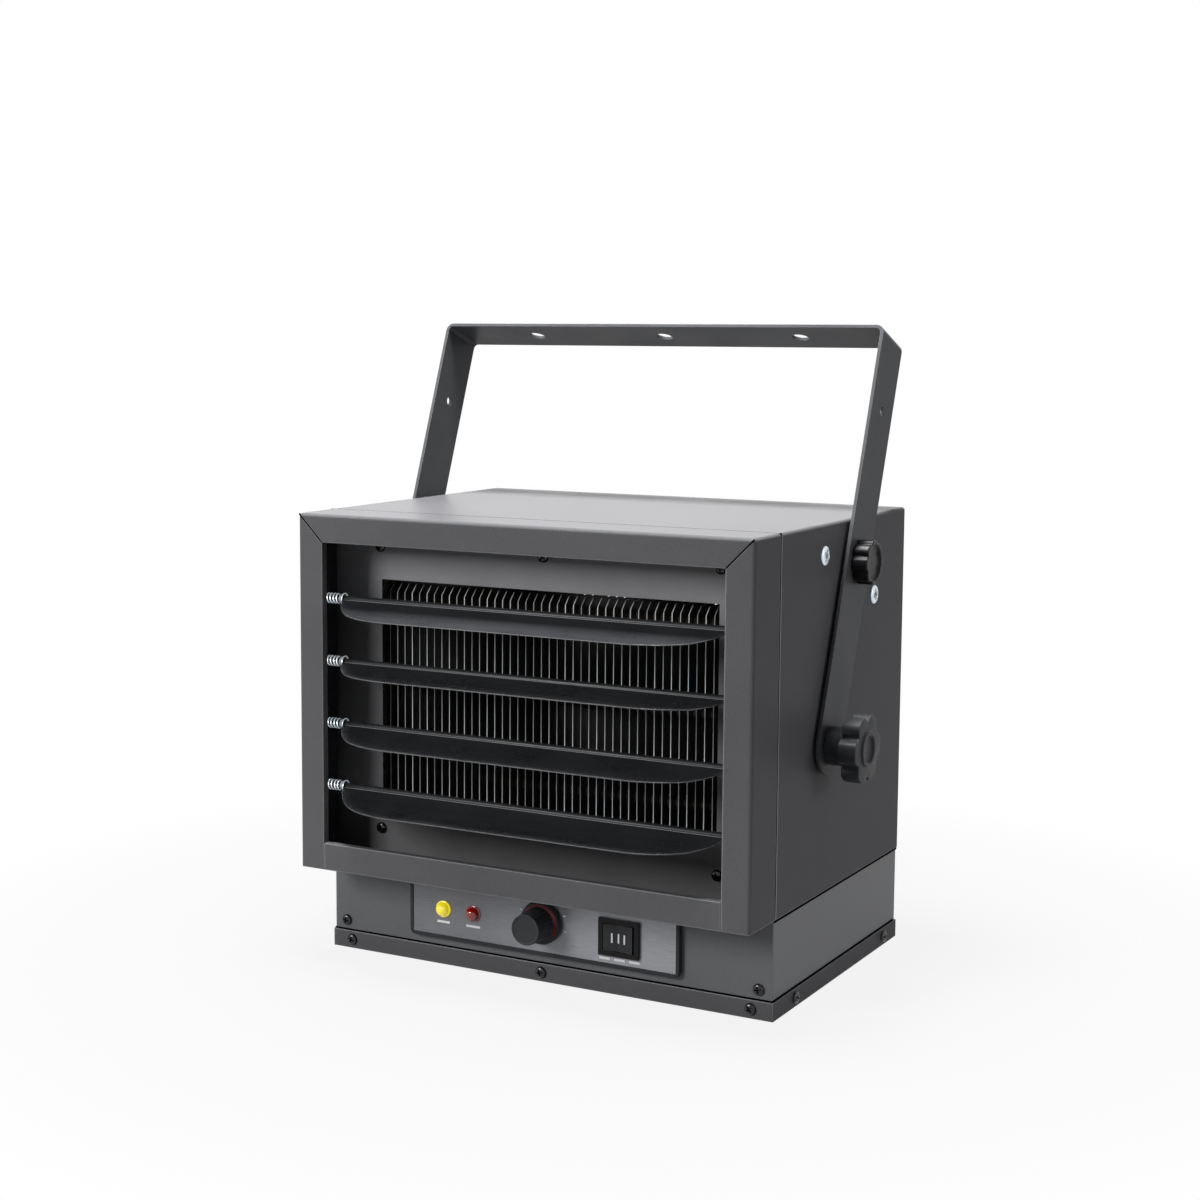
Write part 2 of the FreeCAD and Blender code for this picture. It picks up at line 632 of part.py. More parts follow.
def front_surround():
    """Top rail and two stiles in one folded sheet, with mitred top corners."""
    body = new_body("Surround")
    shell = [
        ("-half_width", "case_floor"), ("-half_width", "case_top"),
        ("half_width", "case_top"), ("half_width", "case_floor"),
        ("inner_half", "case_floor"), ("inner_half", "case_top - sheet"),
        ("-inner_half", "case_top - sheet"), ("-inner_half", "case_floor"),
    ]
    face = [
        ("-half_width", "case_floor"), ("-half_width", "case_top"),
        ("half_width", "case_top"), ("half_width", "case_floor"),
        ("stile_edge", "case_floor"), ("stile_edge", "rail_edge"),
        ("-stile_edge", "rail_edge"), ("-stile_edge", "case_floor"),
    ]
    lip_low = "case_floor + bottom_rail_face + fit_gap"
    lip = [
        ("-stile_edge - sheet", lip_low), ("-stile_edge - sheet", "rail_edge + sheet"),
        ("stile_edge + sheet", "rail_edge + sheet"), ("stile_edge + sheet", lip_low),
        ("stile_edge", lip_low), ("stile_edge", "rail_edge"),
        ("-stile_edge", "rail_edge"), ("-stile_edge", lip_low),
    ]
    pad(body, "XZ", [shell], "face_plane", "front_plane - seam_gap")
    pad(body, "XZ", [face], "face_plane", "face_plane + sheet")
    pad(body, "XZ", [lip], "face_plane", "face_plane + rail_return")
    half = size("half_width")
    top = size("case_top")
    front = size("face_plane")
    round_edges(body, "bend", lambda edge: (
        lies_at(edge, x=half, z=top) or lies_at(edge, x=-half, z=top)
        or lies_at(edge, x=half, y=front) or lies_at(edge, x=-half, y=front)
        or lies_at(edge, z=top, y=front)))
    slots = []
    for side in (1, -1):
        slot = doc.addObject("Part::Box", "Mitre")
        bind(slot, Length="mitre_slot", Width="sheet + overrun", Height="rail_face * sqrt(2) - bend * 2")
        turn = Rotation(Vector(0, 1, 0), side * 45)
        corner = Vector(side * size("stile_edge"), size("face_plane - overrun"), size("rail_edge"))
        start = turn.multVec(Vector(-size("mitre_slot / 2"), 0, -size("overrun")))
        slot.Placement = Placement(corner + start, turn)
        slots.append(slot)
    keep("front_surround", cut(body, slots))


def surround_bottom_rail():
    """Bottom rail between the stiles, with a floor that runs back to the baffle."""
    face = box(("-stile_edge + fit_gap", "stile_edge - fit_gap"), ("face_plane", "face_plane + sheet"),
               ("case_floor", "case_floor + bottom_rail_face"))
    lip = box(("-stile_edge + fit_gap", "stile_edge - fit_gap"), ("face_plane", "face_plane + rail_return"),
              ("case_floor + bottom_rail_face - sheet", "case_floor + bottom_rail_face"))
    front_floor = box(("-stile_edge + fit_gap", "stile_edge - fit_gap"), ("face_plane", "face_plane + bend"),
                      ("case_floor", "case_floor + sheet"))
    back_floor = box(("-panel_half", "panel_half"), ("face_plane + bend", "front_plane - fit_gap"),
                     ("case_floor", "case_floor + sheet"))
    keep("surround_bottom_rail", fuse([face, lip, front_floor, back_floor]))


def front_baffle():
    """Plate behind the louvers with the air outlet, and flanges that hold the surround."""
    body = new_body("Baffle")
    edge = rectangle(("-panel_half", "panel_half"), ("case_floor + sheet + fit_gap", "ceiling"))
    inside = rectangle(("-panel_half + sheet", "panel_half - sheet"),
                       ("case_floor + 2 * sheet + fit_gap", "ceiling - sheet"))
    outlet = rectangle(signs("outlet_width / 2"), ("outlet_low", "outlet_high"))
    screws = [(x, z, SCREW_HOLE) for x, z in BAFFLE_SCREWS + LIP_SCREWS]
    pad(body, "XZ", [edge, outlet] + screws, "front_plane", "front_plane + sheet")
    pad(body, "XZ", [edge, inside], "front_plane - baffle_flange", "front_plane")
    keep("front_baffle", body)


def casing_floor():
    """Floor of the warm chamber, with a front lip that the baffle is screwed to."""
    plate = box(("-panel_half", "panel_half"), ("front_plane + sheet", "rear_plane - 2 * sheet - fit_gap"),
                ("case_floor + sheet", "floor_top"))
    lip = box(("-panel_half", "panel_half"), ("front_plane + sheet", "front_plane + 2 * sheet"),
              ("case_floor + sheet", "floor_top + floor_lip"))
    holes = [rod(SCREW_HOLE, "4 * sheet", (x, "front_plane", z), "+y") for x, z in BAFFLE_SCREWS]
    wires = rod("inlet_body_dia / 2", "sheet + 2 * overrun",
                ("inlet_bush_place", "0", "floor_top - sheet - overrun"), "+z")
    keep("casing_floor", cut(fuse([plate, lip]), holes + [wires]))


def rear_panel():
    """Back of the casing with the round air inlet."""
    body = new_body("RearPanel")
    edge = rectangle(("-panel_half", "panel_half"), ("case_floor + sheet + fit_gap", "ceiling"))
    screws = [(x, z, SCREW_HOLE) for x, z in REAR_SCREWS]
    pad(body, "XZ", [edge, ("0", "fan_height", "inlet_dia / 2")] + screws, "rear_plane - sheet", "rear_plane")
    keep("rear_panel", body)


def fan_guard():
    """Wire guard over the inlet: rings joined by spokes, lying on the rear panel."""
    body = new_body("Guard")
    outer = "(inlet_dia / 2 + guard_overlap)"
    inner = "(guard_core_dia / 2)"
    for ring in range(GUARD_RINGS):
        radius = f"{inner} + ({outer} - {inner}) * {ring} / {GUARD_RINGS - 1}"
        pad(body, "XZ", [("0", "fan_height", f"{radius} + guard_wire / 2"),
                         ("0", "fan_height", f"{radius} - guard_wire / 2")],
            "rear_plane", "rear_plane + guard_wire")
    spokes = []
    for number in range(GUARD_SPOKES):
        spoke = doc.addObject("Part::Box", "Spoke")
        bind(spoke, Length="guard_wire", Width="guard_wire", Height=f"{outer} - {inner}")
        turn = Rotation(Vector(0, 1, 0), 360 * number / GUARD_SPOKES)
        start = turn.multVec(Vector(-size("guard_wire") / 2, 0, size(inner)))
        spoke.Placement = Placement(start + Vector(0, size("rear_plane"), size("fan_height")), turn)
        spokes.append(spoke)
    keep("fan_guard", fuse([body] + spokes))


def fan_bulkhead():
    """Wall across the casing with a collar round the fan."""
    body = new_body("Bulkhead")
    edge = rectangle(("-panel_half", "panel_half"), ("floor_top", "ceiling"))
    hole = ("0", "fan_height", "fan_dia / 2 + fan_clearance")
    collar = ("0", "fan_height", "fan_dia / 2 + fan_clearance + sheet")
    pad(body, "XZ", [edge, hole], "bulkhead_place", "bulkhead_place + sheet")
    pad(body, "XZ", [collar, hole], "bulkhead_place", "bulkhead_place + bulkhead_collar")
    keep("fan_bulkhead", body)


def motor():
    """Motor on a strap across the inlet; its shaft carries the fan."""
    reach = "(inlet_dia / 2 + mount_overlap)"
    strap = box(signs("mount_width / 2"), ("strap_front", "strap_front + mount_sheet"),
                (f"fan_height - {reach}", f"fan_height + {reach}"))
    keep("motor_mount", strap)
    can = new_body("Can")
    bore = "shaft_dia / 2 + running_gap"
    revolve(can, [
        (bore, "0"), ("motor_dia / 2", "0"), ("motor_dia / 2", "motor_length - motor_edge"),
        ("motor_dia / 2 - motor_edge", "motor_length"), ("motor_boss_dia / 2", "motor_length"),
        ("motor_boss_dia / 2", "motor_length + motor_boss_length"), (bore, "motor_length + motor_boss_length"),
    ])
    can.Placement = facing("-y", "0", "strap_front", "fan_height")
    keep("motor_can", can)
    keep("motor_shaft", rod("shaft_dia / 2", "strap_front - hub_place - running_gap",
                            ("0", "hub_place", "fan_height"), "+y"))


def blade_section(chord, pitch):
    """Four corners of a thin blade across the radius: chord at a pitch to the plane of rotation."""
    corners = []
    for along, across in ((1, 1), (-1, 1), (-1, -1), (1, -1)):
        depth = f"{along} * {chord} / 2 * sin({pitch}) + {across} * blade_thickness / 2 * cos({pitch})"
        swing = f"{along} * {chord} / 2 * cos({pitch}) - {across} * blade_thickness / 2 * sin({pitch})"
        corners.append((depth, swing))
    return corners


def fan_rotor():
    """Cup-shaped hub with twisted blades, drawn round the body's Y axis."""
    body = new_body("Fan")
    half = "hub_length / 2"
    cup = ("0", "0", "hub_dia / 2")
    well = ("0", "0", "hub_dia / 2 - hub_web")
    core = ("0", "0", "hub_core_dia / 2")
    bore = ("0", "0", "shaft_dia / 2 + running_gap")
    pad(body, "XZ", [cup, well], f"-{half}", half)
    pad(body, "XZ", [cup, bore], f"-{half}", f"-{half} + hub_web")
    pad(body, "XZ", [core, bore], f"-{half}", half)
    root = draw(body, "YZ", [blade_section("blade_root_chord", "blade_root_pitch")], "hub_dia / 2 - blade_sink")
    tip = draw(body, "YZ", [blade_section("blade_tip_chord", "blade_tip_pitch")],
               "sqrt((fan_dia / 2) ^ 2 - (blade_tip_chord / 2) ^ 2)")
    blade = body.newObject("PartDesign::AdditiveLoft", "Blade")
    blade.Profile = root
    blade.Sections = [tip]
    blade.Ruled = True
    repeat_round(body, blade, "Y", FAN_BLADES)
    doc.recompute()
    body.Placement = Placement(Vector(0, size("hub_place + hub_length / 2"), size("fan_height")), Rotation())
    keep("fan_rotor", body)


def heating_block():
    """Upright fins on straight tubes, held by an end plate each side."""
    rows = [f"tube_low + {row} * tube_pitch" for row in range(TUBE_COUNT)]
    fin = new_body("Fin")
    depth = ("fin_front", "fin_front + fin_depth")
    outline = [
        (depth[0], "fin_low"), (depth[1], "fin_low"), (depth[1], "fin_high"),
        (f"{depth[0]} + fin_corner", "fin_high"), (depth[0], "fin_high - fin_corner"),
    ]
    sockets = []
    for row in rows:
        reach = "(tube_dia / 2 + tube_gap) / cos(30)"
        sockets.append([
            (f"fin_middle + {reach} * cos({angle})", f"{row} + {reach} * sin({angle})")
            for angle in range(30, 390, 60)
        ])
    pad(fin, "YZ", [outline] + sockets, "-fin_sheet / 2", "fin_sheet / 2")
    pitch = size("fin_pitch")
    places = [Placement(Vector((number - (FIN_COUNT - 1) / 2) * pitch, 0, 0), Rotation())
              for number in range(FIN_COUNT)]
    group("heater_fins", fin, places)

    plate = new_body("EndPlate")
    margin = ("fin_front - end_plate_margin / 4", "fin_front + fin_depth + end_plate_margin")
    holes = [("fin_middle", row, "tube_dia / 2 + tube_gap") for row in rows]
    pad(plate, "YZ", [rectangle(margin, ("floor_top", "fin_high + end_plate_margin"))] + holes,
        "end_plate_offset", "end_plate_offset + sheet")
    pad(plate, "XY", [rectangle(("end_plate_offset", "end_plate_offset + end_plate_foot"), margin)],
        "floor_top", "floor_top + sheet")
    keep("end_plate_right", plate)
    keep("end_plate_left", mirrored(plate))

    tube = new_body("Tube")
    reach = "end_plate_offset + sheet + tube_overhang"
    pad(tube, "YZ", [("0", "0", "tube_dia / 2")], f"-({reach})", reach)
    pad(tube, "YZ", [("0", "0", "terminal_dia / 2")], reach, f"{reach} + insulator_length + terminal_length")
    pad(tube, "YZ", [("0", "0", "terminal_dia / 2")], f"-({reach} + insulator_length + terminal_length)",
        f"-({reach})")
    heights = [Vector(0, size("fin_middle"), size(row)) for row in rows]
    group("heating_tubes", tube, [Placement(place, Rotation()) for place in heights])

    ceramic = new_body("Ceramic")
    pad(ceramic, "YZ", [("0", "0", "insulator_dia / 2"), ("0", "0", "terminal_dia / 2 + tube_gap")],
        "0", "insulator_length")
    ends = [size(reach), -size(f"{reach} + insulator_length")]
    group("tube_insulators", ceramic,
          [Placement(place + Vector(end, 0, 0), Rotation()) for place in heights for end in ends])

    cap = rod("cutout_dia / 2", "cutout_height", ("cutout_side", "0", "floor_top"), "+z")
    ears = box(("cutout_side - cutout_dia", "cutout_side + cutout_dia"), signs("cutout_dia / 4"),
               ("floor_top", "floor_top + sheet"))
    keep("heat_cutout", fuse([cap, ears]))


def control_box():
    """Front and sides of the lower box in one folded sheet, its rear cover and the tray below."""
    body = new_body("ControlBox")
    outline = [
        ("-box_half", "front_plane"), ("box_half", "front_plane"), ("box_half", "rear_plane"),
        ("box_half - sheet", "rear_plane"), ("box_half - sheet", "front_plane + sheet"),
        ("-box_half + sheet", "front_plane + sheet"), ("-box_half + sheet", "rear_plane"),
        ("-box_half", "rear_plane"),
    ]
    top = "case_floor - seam_gap"
    pad(body, "XY", [outline], "box_low", top)
    for x in (("box_half - side_lip", "box_half"), ("-box_half", "-box_half + side_lip")):
        pad(body, "XY", [rectangle(x, ("front_plane", "rear_plane - 2 * sheet"))], f"{top} - sheet", top)
    window = rectangle(
        ("bezel_place - bezel_width / 2 + window_margin", "bezel_place + bezel_width / 2 - window_margin"),
        ("bezel_low + window_margin / 2", "bezel_high - window_margin / 2"))
    fixings = [(x, "box_screw_height", SCREW_HOLE) for x in signs("box_screw_place")]
    fixings += [(x, "tray_screw_height", SCREW_HOLE) for x in TRAY_FRONT_SCREWS]
    pocket(body, "XZ", [window] + fixings, "front_plane - overrun", "front_plane + sheet + overrun")
    sides = [(y, "tray_screw_height", SCREW_HOLE) for y in TRAY_SIDE_SCREWS]
    pocket(body, "YZ", sides, "-half_width - overrun", "half_width + overrun")
    keep("control_box", body)

    cover = new_body("RearCover")
    edge = rectangle(signs("box_half - sheet - fit_gap"), ("box_low", "case_floor - seam_gap - fit_gap"))
    pad(cover, "XZ", [edge, ("inlet_bush_place", "inlet_bush_height", "inlet_body_dia / 2 + control_gap")],
        "rear_plane - sheet", "rear_plane")
    keep("box_rear_cover", cover)

    tray = new_body("Tray")
    footprint = rectangle(signs("half_width"), signs("rear_plane + sheet"))
    inside = rectangle(signs("half_width - sheet"), signs("rear_plane"))
    pad(tray, "XY", [footprint], "0", "sheet")
    pad(tray, "XY", [footprint, inside], "0", "tray_height")
    front = [(x, "tray_screw_height", SCREW_HOLE) for x in TRAY_FRONT_SCREWS]
    pocket(tray, "XZ", front, "front_plane - sheet - overrun", "front_plane + overrun")
    pocket(tray, "YZ", sides, "-half_width - overrun", "half_width + overrun")
    keep("base_tray", tray)

    bush = new_body("Inlet")
    bore = "inlet_bore / 2"
    revolve(bush, [
        (bore, "-inlet_tail"), ("inlet_body_dia / 2", "-inlet_tail"), ("inlet_body_dia / 2", "0"),
        ("inlet_flange_dia / 2", "0"), ("inlet_flange_dia / 2", "inlet_flange"), (bore, "inlet_flange"),
    ])
    bush.Placement = facing("+y", "inlet_bush_place", "rear_plane", "inlet_bush_height")
    keep("cable_bush", bush)

    block = new_body("Block")
    ends = ("block_place", "block_place + block_width")
    depth = ("block_back", "block_back + block_deep")
    pad(block, "XY", [rectangle(ends, depth)], "sheet", "sheet + block_tall")
    cell = f"((block_width - block_wall) / {TERMINALS})"
    wells = [
        rectangle((f"block_place + block_wall + {number} * {cell}", f"block_place + {number + 1} * {cell}"),
                  ("block_back + block_wall", "block_back + block_deep - block_wall"))
        for number in range(TERMINALS)
    ]
    pocket(block, "XY", wells, "sheet + block_tall - block_well", "sheet + block_tall + overrun")
    keep("terminal_block", block)


def control_panel():
    """Raised bezel, its plate, two lamps, and the bodies of the thermostat and the switch."""
    bezel = new_body("Bezel")
    ends = ("bezel_place - bezel_width / 2", "bezel_place + bezel_width / 2")
    rise = "front_plane - bezel_rise"
    pad(bezel, "XZ", [rectangle(ends, ("bezel_low", "bezel_high"))], rise, "front_plane")
    corners = [(x, z) for x in map(size, ends) for z in (size("bezel_low"), size("bezel_high"))]
    round_edges(bezel, "bezel_corner", lambda edge: any(lies_at(edge, x=x, z=z) for x, z in corners))
    recess = rectangle((f"{ends[0]} + bezel_rim", f"{ends[1]} - bezel_rim"),
                       ("bezel_low + bezel_rim", "bezel_high - bezel_rim"))
    pocket(bezel, "XZ", [recess], f"{rise} - overrun", "plate_back")
    lamps = ["power_lamp_place", "warning_lamp_place"]
    barrel = "lamp_barrel_dia / 2 + control_gap"
    body_half = "(switch_mouth / 2 + switch_wall)"
    body_tall = "(switch_mouth_tall / 2 + switch_wall)"
    switch = rectangle((f"switch_place - {body_half} - control_gap", f"switch_place + {body_half} + control_gap"),
                       (f"switch_height - {body_tall} - control_gap", f"switch_height + {body_tall} + control_gap"))
    openings = [(x, "lamp_height", barrel) for x in lamps]
    openings += [("dial_place", "dial_height", "bush_dia / 2 + control_gap"), switch]
    pocket(bezel, "XZ", openings, f"{rise} - overrun", "front_plane + overrun")
    keep("control_bezel", bezel)

    plate = new_body("Plate")
    edge = rectangle((f"{ends[0]} + bezel_rim + control_gap", f"{ends[1]} - bezel_rim - control_gap"),
                     ("bezel_low + bezel_rim + control_gap", "bezel_high - bezel_rim - control_gap"))
    pad(plate, "XZ", [edge] + openings, "plate_front", "plate_back")
    keep("control_plate", plate)

    dome = [(f"lamp_dia / 2 * {wide}", f"lamp_collar + lamp_rise * {tall}") for wide, tall in DOME_SHARES]
    for label, place in zip(("power_lamp", "warning_lamp"), lamps):
        lamp = new_body("Lamp")
        revolve(lamp, [
            ("0", "-lamp_barrel"), ("lamp_barrel_dia / 2", "-lamp_barrel"), ("lamp_barrel_dia / 2", "0"),
            ("lamp_collar_dia / 2", "0"), ("lamp_collar_dia / 2", "lamp_collar"),
            ("lamp_dia / 2", "lamp_collar"), *dome, ("0", "lamp_collar + lamp_rise"),
        ])
        lamp.Placement = facing("-y", place, "plate_front", "lamp_height")
        keep(label, lamp)

    can = box(("dial_place - thermostat_width / 2", "dial_place + thermostat_width / 2"),
              ("front_plane", "front_plane + thermostat_deep"),
              ("dial_height - thermostat_tall / 2", "dial_height + thermostat_tall / 2"))
    bush = rod("bush_dia / 2", "front_plane + thermostat_deep / 2 - plate_front + bush_rise",
               ("dial_place", "plate_front - bush_rise", "dial_height"), "+y")
    bore = rod("spindle_dia / 2 + running_gap", "thermostat_deep + bezel_rise + bush_rise + overrun",
               ("dial_place", "plate_front - bush_rise - overrun", "dial_height"), "+y")
    keep("thermostat_body", cut(fuse([can, bush]), [bore]))

    housing = new_body("Housing")
    frame = rectangle(("switch_place - switch_width / 2", "switch_place + switch_width / 2"),
                      ("switch_height - switch_tall / 2", "switch_height + switch_tall / 2"))
    shell = rectangle((f"switch_place - {body_half}", f"switch_place + {body_half}"),
                      (f"switch_height - {body_tall}", f"switch_height + {body_tall}"))
    mouth = rectangle(("switch_place - switch_mouth / 2", "switch_place + switch_mouth / 2"),
                      ("switch_height - switch_mouth_tall / 2", "switch_height + switch_mouth_tall / 2"))
    pad(housing, "XZ", [frame], "plate_front - switch_rise", "plate_front")
    pad(housing, "XZ", [shell], "plate_front", "plate_front + switch_deep")
    pocket(housing, "XZ", [mouth], "plate_front - switch_rise - overrun", "plate_front + switch_well")
    hole = ("switch_place", "plate_front + rocker_pivot", "rocker_pin_dia / 2 + running_gap")
    pocket(housing, "XY", [hole], "switch_height - switch_mouth_tall / 2 - switch_wall / 2",
           "switch_height + switch_mouth_tall / 2 + switch_wall / 2")
    keep("switch_housing", housing)


def thermostat_knob():
    """Fluted grip on a skirt, turned with the spindle."""
    base = "plate_front - bush_rise - knob_gap"
    length = "skirt_thick + grip_length"
    socket = "skirt_thick + grip_length / 2"
    knob = new_body("DialKnob")
    bore = "spindle_dia / 2 + running_gap"
    revolve(knob, [
        (bore, "0"), ("skirt_dia / 2 - skirt_thick / 4", "0"), ("skirt_dia / 2", "skirt_thick / 4"),
        ("skirt_dia / 2 - skirt_thick / 4", "skirt_thick"), ("grip_dia / 2", "skirt_thick"),
        ("grip_face_dia / 2", f"{length} - grip_edge"), ("grip_face_dia / 2 - grip_edge", length),
        ("0", length), ("0", socket), (bore, socket),
    ])
    groove = [
        ("grip_face_dia / 2 - flute_width / 4", "0"), ("grip_dia / 2 + flute_width / 2", "-flute_width / 2"),
        ("grip_dia / 2 + flute_width / 2", "flute_width / 2"),
    ]
    flute = pocket(knob, "XY", [groove], "skirt_thick", f"{length} + overrun")
    repeat_round(knob, flute, "Z", KNOB_FLUTES)
    doc.recompute()
    knob.Placement = facing("-y", "dial_place", base, "dial_height")
    keep("thermostat_knob", knob)
    keep("thermostat_spindle", rod("spindle_dia / 2", f"{socket} + knob_gap + bush_rise + spindle_tail",
                                   ("dial_place", f"{base} - ({socket})", "dial_height"), "+y"))


def switch_rocker():
    """Rocker with a hollow face, on two pins, tilting left and right about an upright axis."""
    half = "(switch_mouth / 2 - rocker_side_gap)"
    tall = "(switch_mouth_tall / 2 - rocker_gap)"
    front = "plate_front - rocker_rise"
    pivot = "plate_front + rocker_pivot"
    body = new_body("Rocker")
    pad(body, "XY", [[
        (f"switch_place - {half}", front), ("switch_place", f"{front} + rocker_hollow"),
        (f"switch_place + {half}", front), (f"switch_place + {half}", "plate_front"),
        ("switch_place + rocker_pin_dia", f"{pivot} + rocker_heel"),
        ("switch_place - rocker_pin_dia", f"{pivot} + rocker_heel"),
        (f"switch_place - {half}", "plate_front"),
    ]], f"switch_height - {tall}", f"switch_height + {tall}")
    pin = "(switch_mouth_tall / 2 + switch_wall / 2 - rocker_gap)"
    pad(body, "XY", [("switch_place", pivot, "rocker_pin_dia / 2")],
        f"switch_height - {pin}", f"switch_height + {pin}")
    keep("switch_rocker", body)


def louver_height(number):
    return f"louver_middle + {1.5 - number} * louver_pitch"


def louver(number):
    """Bent blade with a rolled bead at the back, on a rod; drawn level, then tilted at its pivot."""
    chord = "louver_chord"
    near, far = CREASE_SHARES
    top = [("0", "blade_sheet / 2"), (f"-{chord} * {near}", "blade_sheet / 2 - blade_dip"),
           (f"-{chord} * {far}", "blade_sheet / 2 - blade_dip"), (f"-{chord}", "blade_sheet / 2")]
    bottom = [(y, f"{z} - blade_sheet") for y, z in reversed(top)]
    half = "louver_length / 2"
    strip = new_body("Strip")
    pad(strip, "YZ", [top + bottom], f"-{half}", half)
    plan = new_body("Plan")
    arc = "(louver_corner ^ 2 + louver_chord ^ 2) / (2 * louver_chord)"
    outline = [
        (f"-{half}", "bead_dia"), (f"-{half}", "0", arc), (f"-{half} + louver_corner", f"-{chord}"),
        (f"{half} - louver_corner", f"-{chord}", arc), (half, "0"), (half, "bead_dia"),
    ]
    pad(plan, "XY", [outline], "-bead_dia", "bead_dia")
    blade = common(strip, plan)
    bead = rod("bead_dia / 2", f"{half} + rail_plane - fit_gap", (f"-{half}", "0", "0"), "+x")
    collar = rod("collar_dia / 2", "collar_width", (f"-{half} - collar_width", "0", "0"), "+x")
    bore = rod("rod_dia / 2 + running_gap", "case_width", ("-half_width", "0", "0"), "+x")
    leaf = cut(fuse([blade, bead, collar]), [bore])
    tilt = Rotation(Vector(1, 0, 0), size(LOUVER_DROOPS[number]))
    leaf.Placement = Placement(Vector(0, size("louver_axis"), size(louver_height(number))), tilt)
    keep(f"louver_{number + 1}", leaf)
    reach = "rail_plane + sheet + rod_overhang"
    keep(f"louver_rod_{number + 1}",
         rod("rod_dia / 2", f"2 * ({reach})", (f"-({reach})", "louver_axis", louver_height(number)), "+x"))


def louver_rails():
    """Upright angles behind the stiles that hold the louver rods."""
    depth = ("face_plane + sheet", "face_plane + sheet + rail_depth")
    height = ("case_floor + bottom_rail_face", "rail_edge")
    web = box(("rail_plane", "rail_plane + sheet"), depth, height)
    foot = box(("rail_plane", "inner_half - bend"), (depth[0], f"{depth[0]} + sheet"), height)
    holes = [rod("rod_dia / 2 + running_gap", "sheet + 2 * overrun",
                 ("rail_plane - overrun", "louver_axis", louver_height(number)), "+x")
             for number in range(len(LOUVER_DROOPS))]
    right = cut(fuse([web, foot]), holes)
    keep("louver_rail_right", right)
    keep("louver_rail_left", mirrored(right))


def biarc(start, start_way, end, end_way):
    """Two arcs that join two points and keep the given ways at both ends."""
    span = end - start
    both = start_way + end_way
    bend = 2 * (1 - start_way.dot(end_way))
    reach = (math.sqrt(span.dot(both) ** 2 + bend * span.dot(span)) - span.dot(both)) / bend
    first = start + start_way * reach
    last = end - end_way * reach
    middle = (first + last) / 2
    return [arc_under(start, first, middle), arc_under(middle, last, end)]


def arc_under(start, corner, end):
    """The arc from start to end that is tangent to both lines through the corner."""
    foot = (start + end) / 2
    half = (end - start).Length / 2
    rise = (corner - foot).Length
    sag = half * math.tan(math.atan2(rise, half) / 2)
    return Part.Arc(start, foot + (corner - foot).normalize() * sag, end)


def spring_path(length):
    """Edges of a coil along X from 0 to length, with straight ends one wire diameter long."""
    wire = size("spring_wire")
    radius = size("spring_dia / 2")
    coil = length - 4 * wire
    advance = coil / (2 * math.pi * SPRING_TURNS)

    def place(angle):
        return Vector(2 * wire + advance * angle, radius * math.cos(angle), radius * math.sin(angle))

    def way(angle):
        return Vector(advance, -radius * math.sin(angle), radius * math.cos(angle)).normalize()

    axis = Vector(1, 0, 0)
    quarters = [quarter * math.pi / 2 for quarter in range(4 * SPRING_TURNS + 1)]
    head = place(quarters[0]) - Vector(wire, wire / 2, wire)
    tail = place(quarters[-1]) + Vector(wire, -wire / 2, wire)
    curves = [Part.LineSegment(head - axis * wire, head)]
    curves += biarc(head, axis, place(quarters[0]), way(quarters[0]))
    for before, after in zip(quarters, quarters[1:]):
        curves += biarc(place(before), way(before), place(after), way(after))
    curves += biarc(place(quarters[-1]), way(quarters[-1]), tail, axis)
    curves.append(Part.LineSegment(tail, tail + axis * wire))
    return [curve.toShape() for curve in curves]


def least_gap(wire, diameter):
    """Smallest gap of a tube to itself, measured on points more than a few diameters apart along it."""
    points = wire.discretize(Distance=diameter / 2)
    apart = 8
    nearest = min(
        points[i].distanceToPoint(points[j])
        for i in range(len(points)) for j in range(i + apart, len(points))
    )
    return nearest - diameter


def louver_springs():
    """A coil spring on each rod, between the left rail and the louver's collar."""
    length = size("rail_plane - louver_length / 2 - collar_width - fit_gap")
    path = Part.Wire(spring_path(length))
    wire = size("spring_wire")
    start = path.Vertexes[0].Point
    sides = [2 * math.pi * number / SPRING_SIDES for number in range(SPRING_SIDES + 1)]
    ring = Part.makePolygon([start + Vector(0, math.cos(side), math.sin(side)) * (wire / 2) for side in sides])
    coil = path.makePipeShell([ring], True, False)
    print(f"louver spring: least gap to itself {least_gap(path, wire):.2f} mm")
    master = doc.addObject("Part::Feature", "Spring")
    master.Shape = coil
    head = start.x
    places = [Placement(Vector(-size("rail_plane") - head, size("louver_axis"), size(louver_height(number))),
                        Rotation()) for number in range(len(LOUVER_DROOPS))]
    group("louver_springs", master, places)


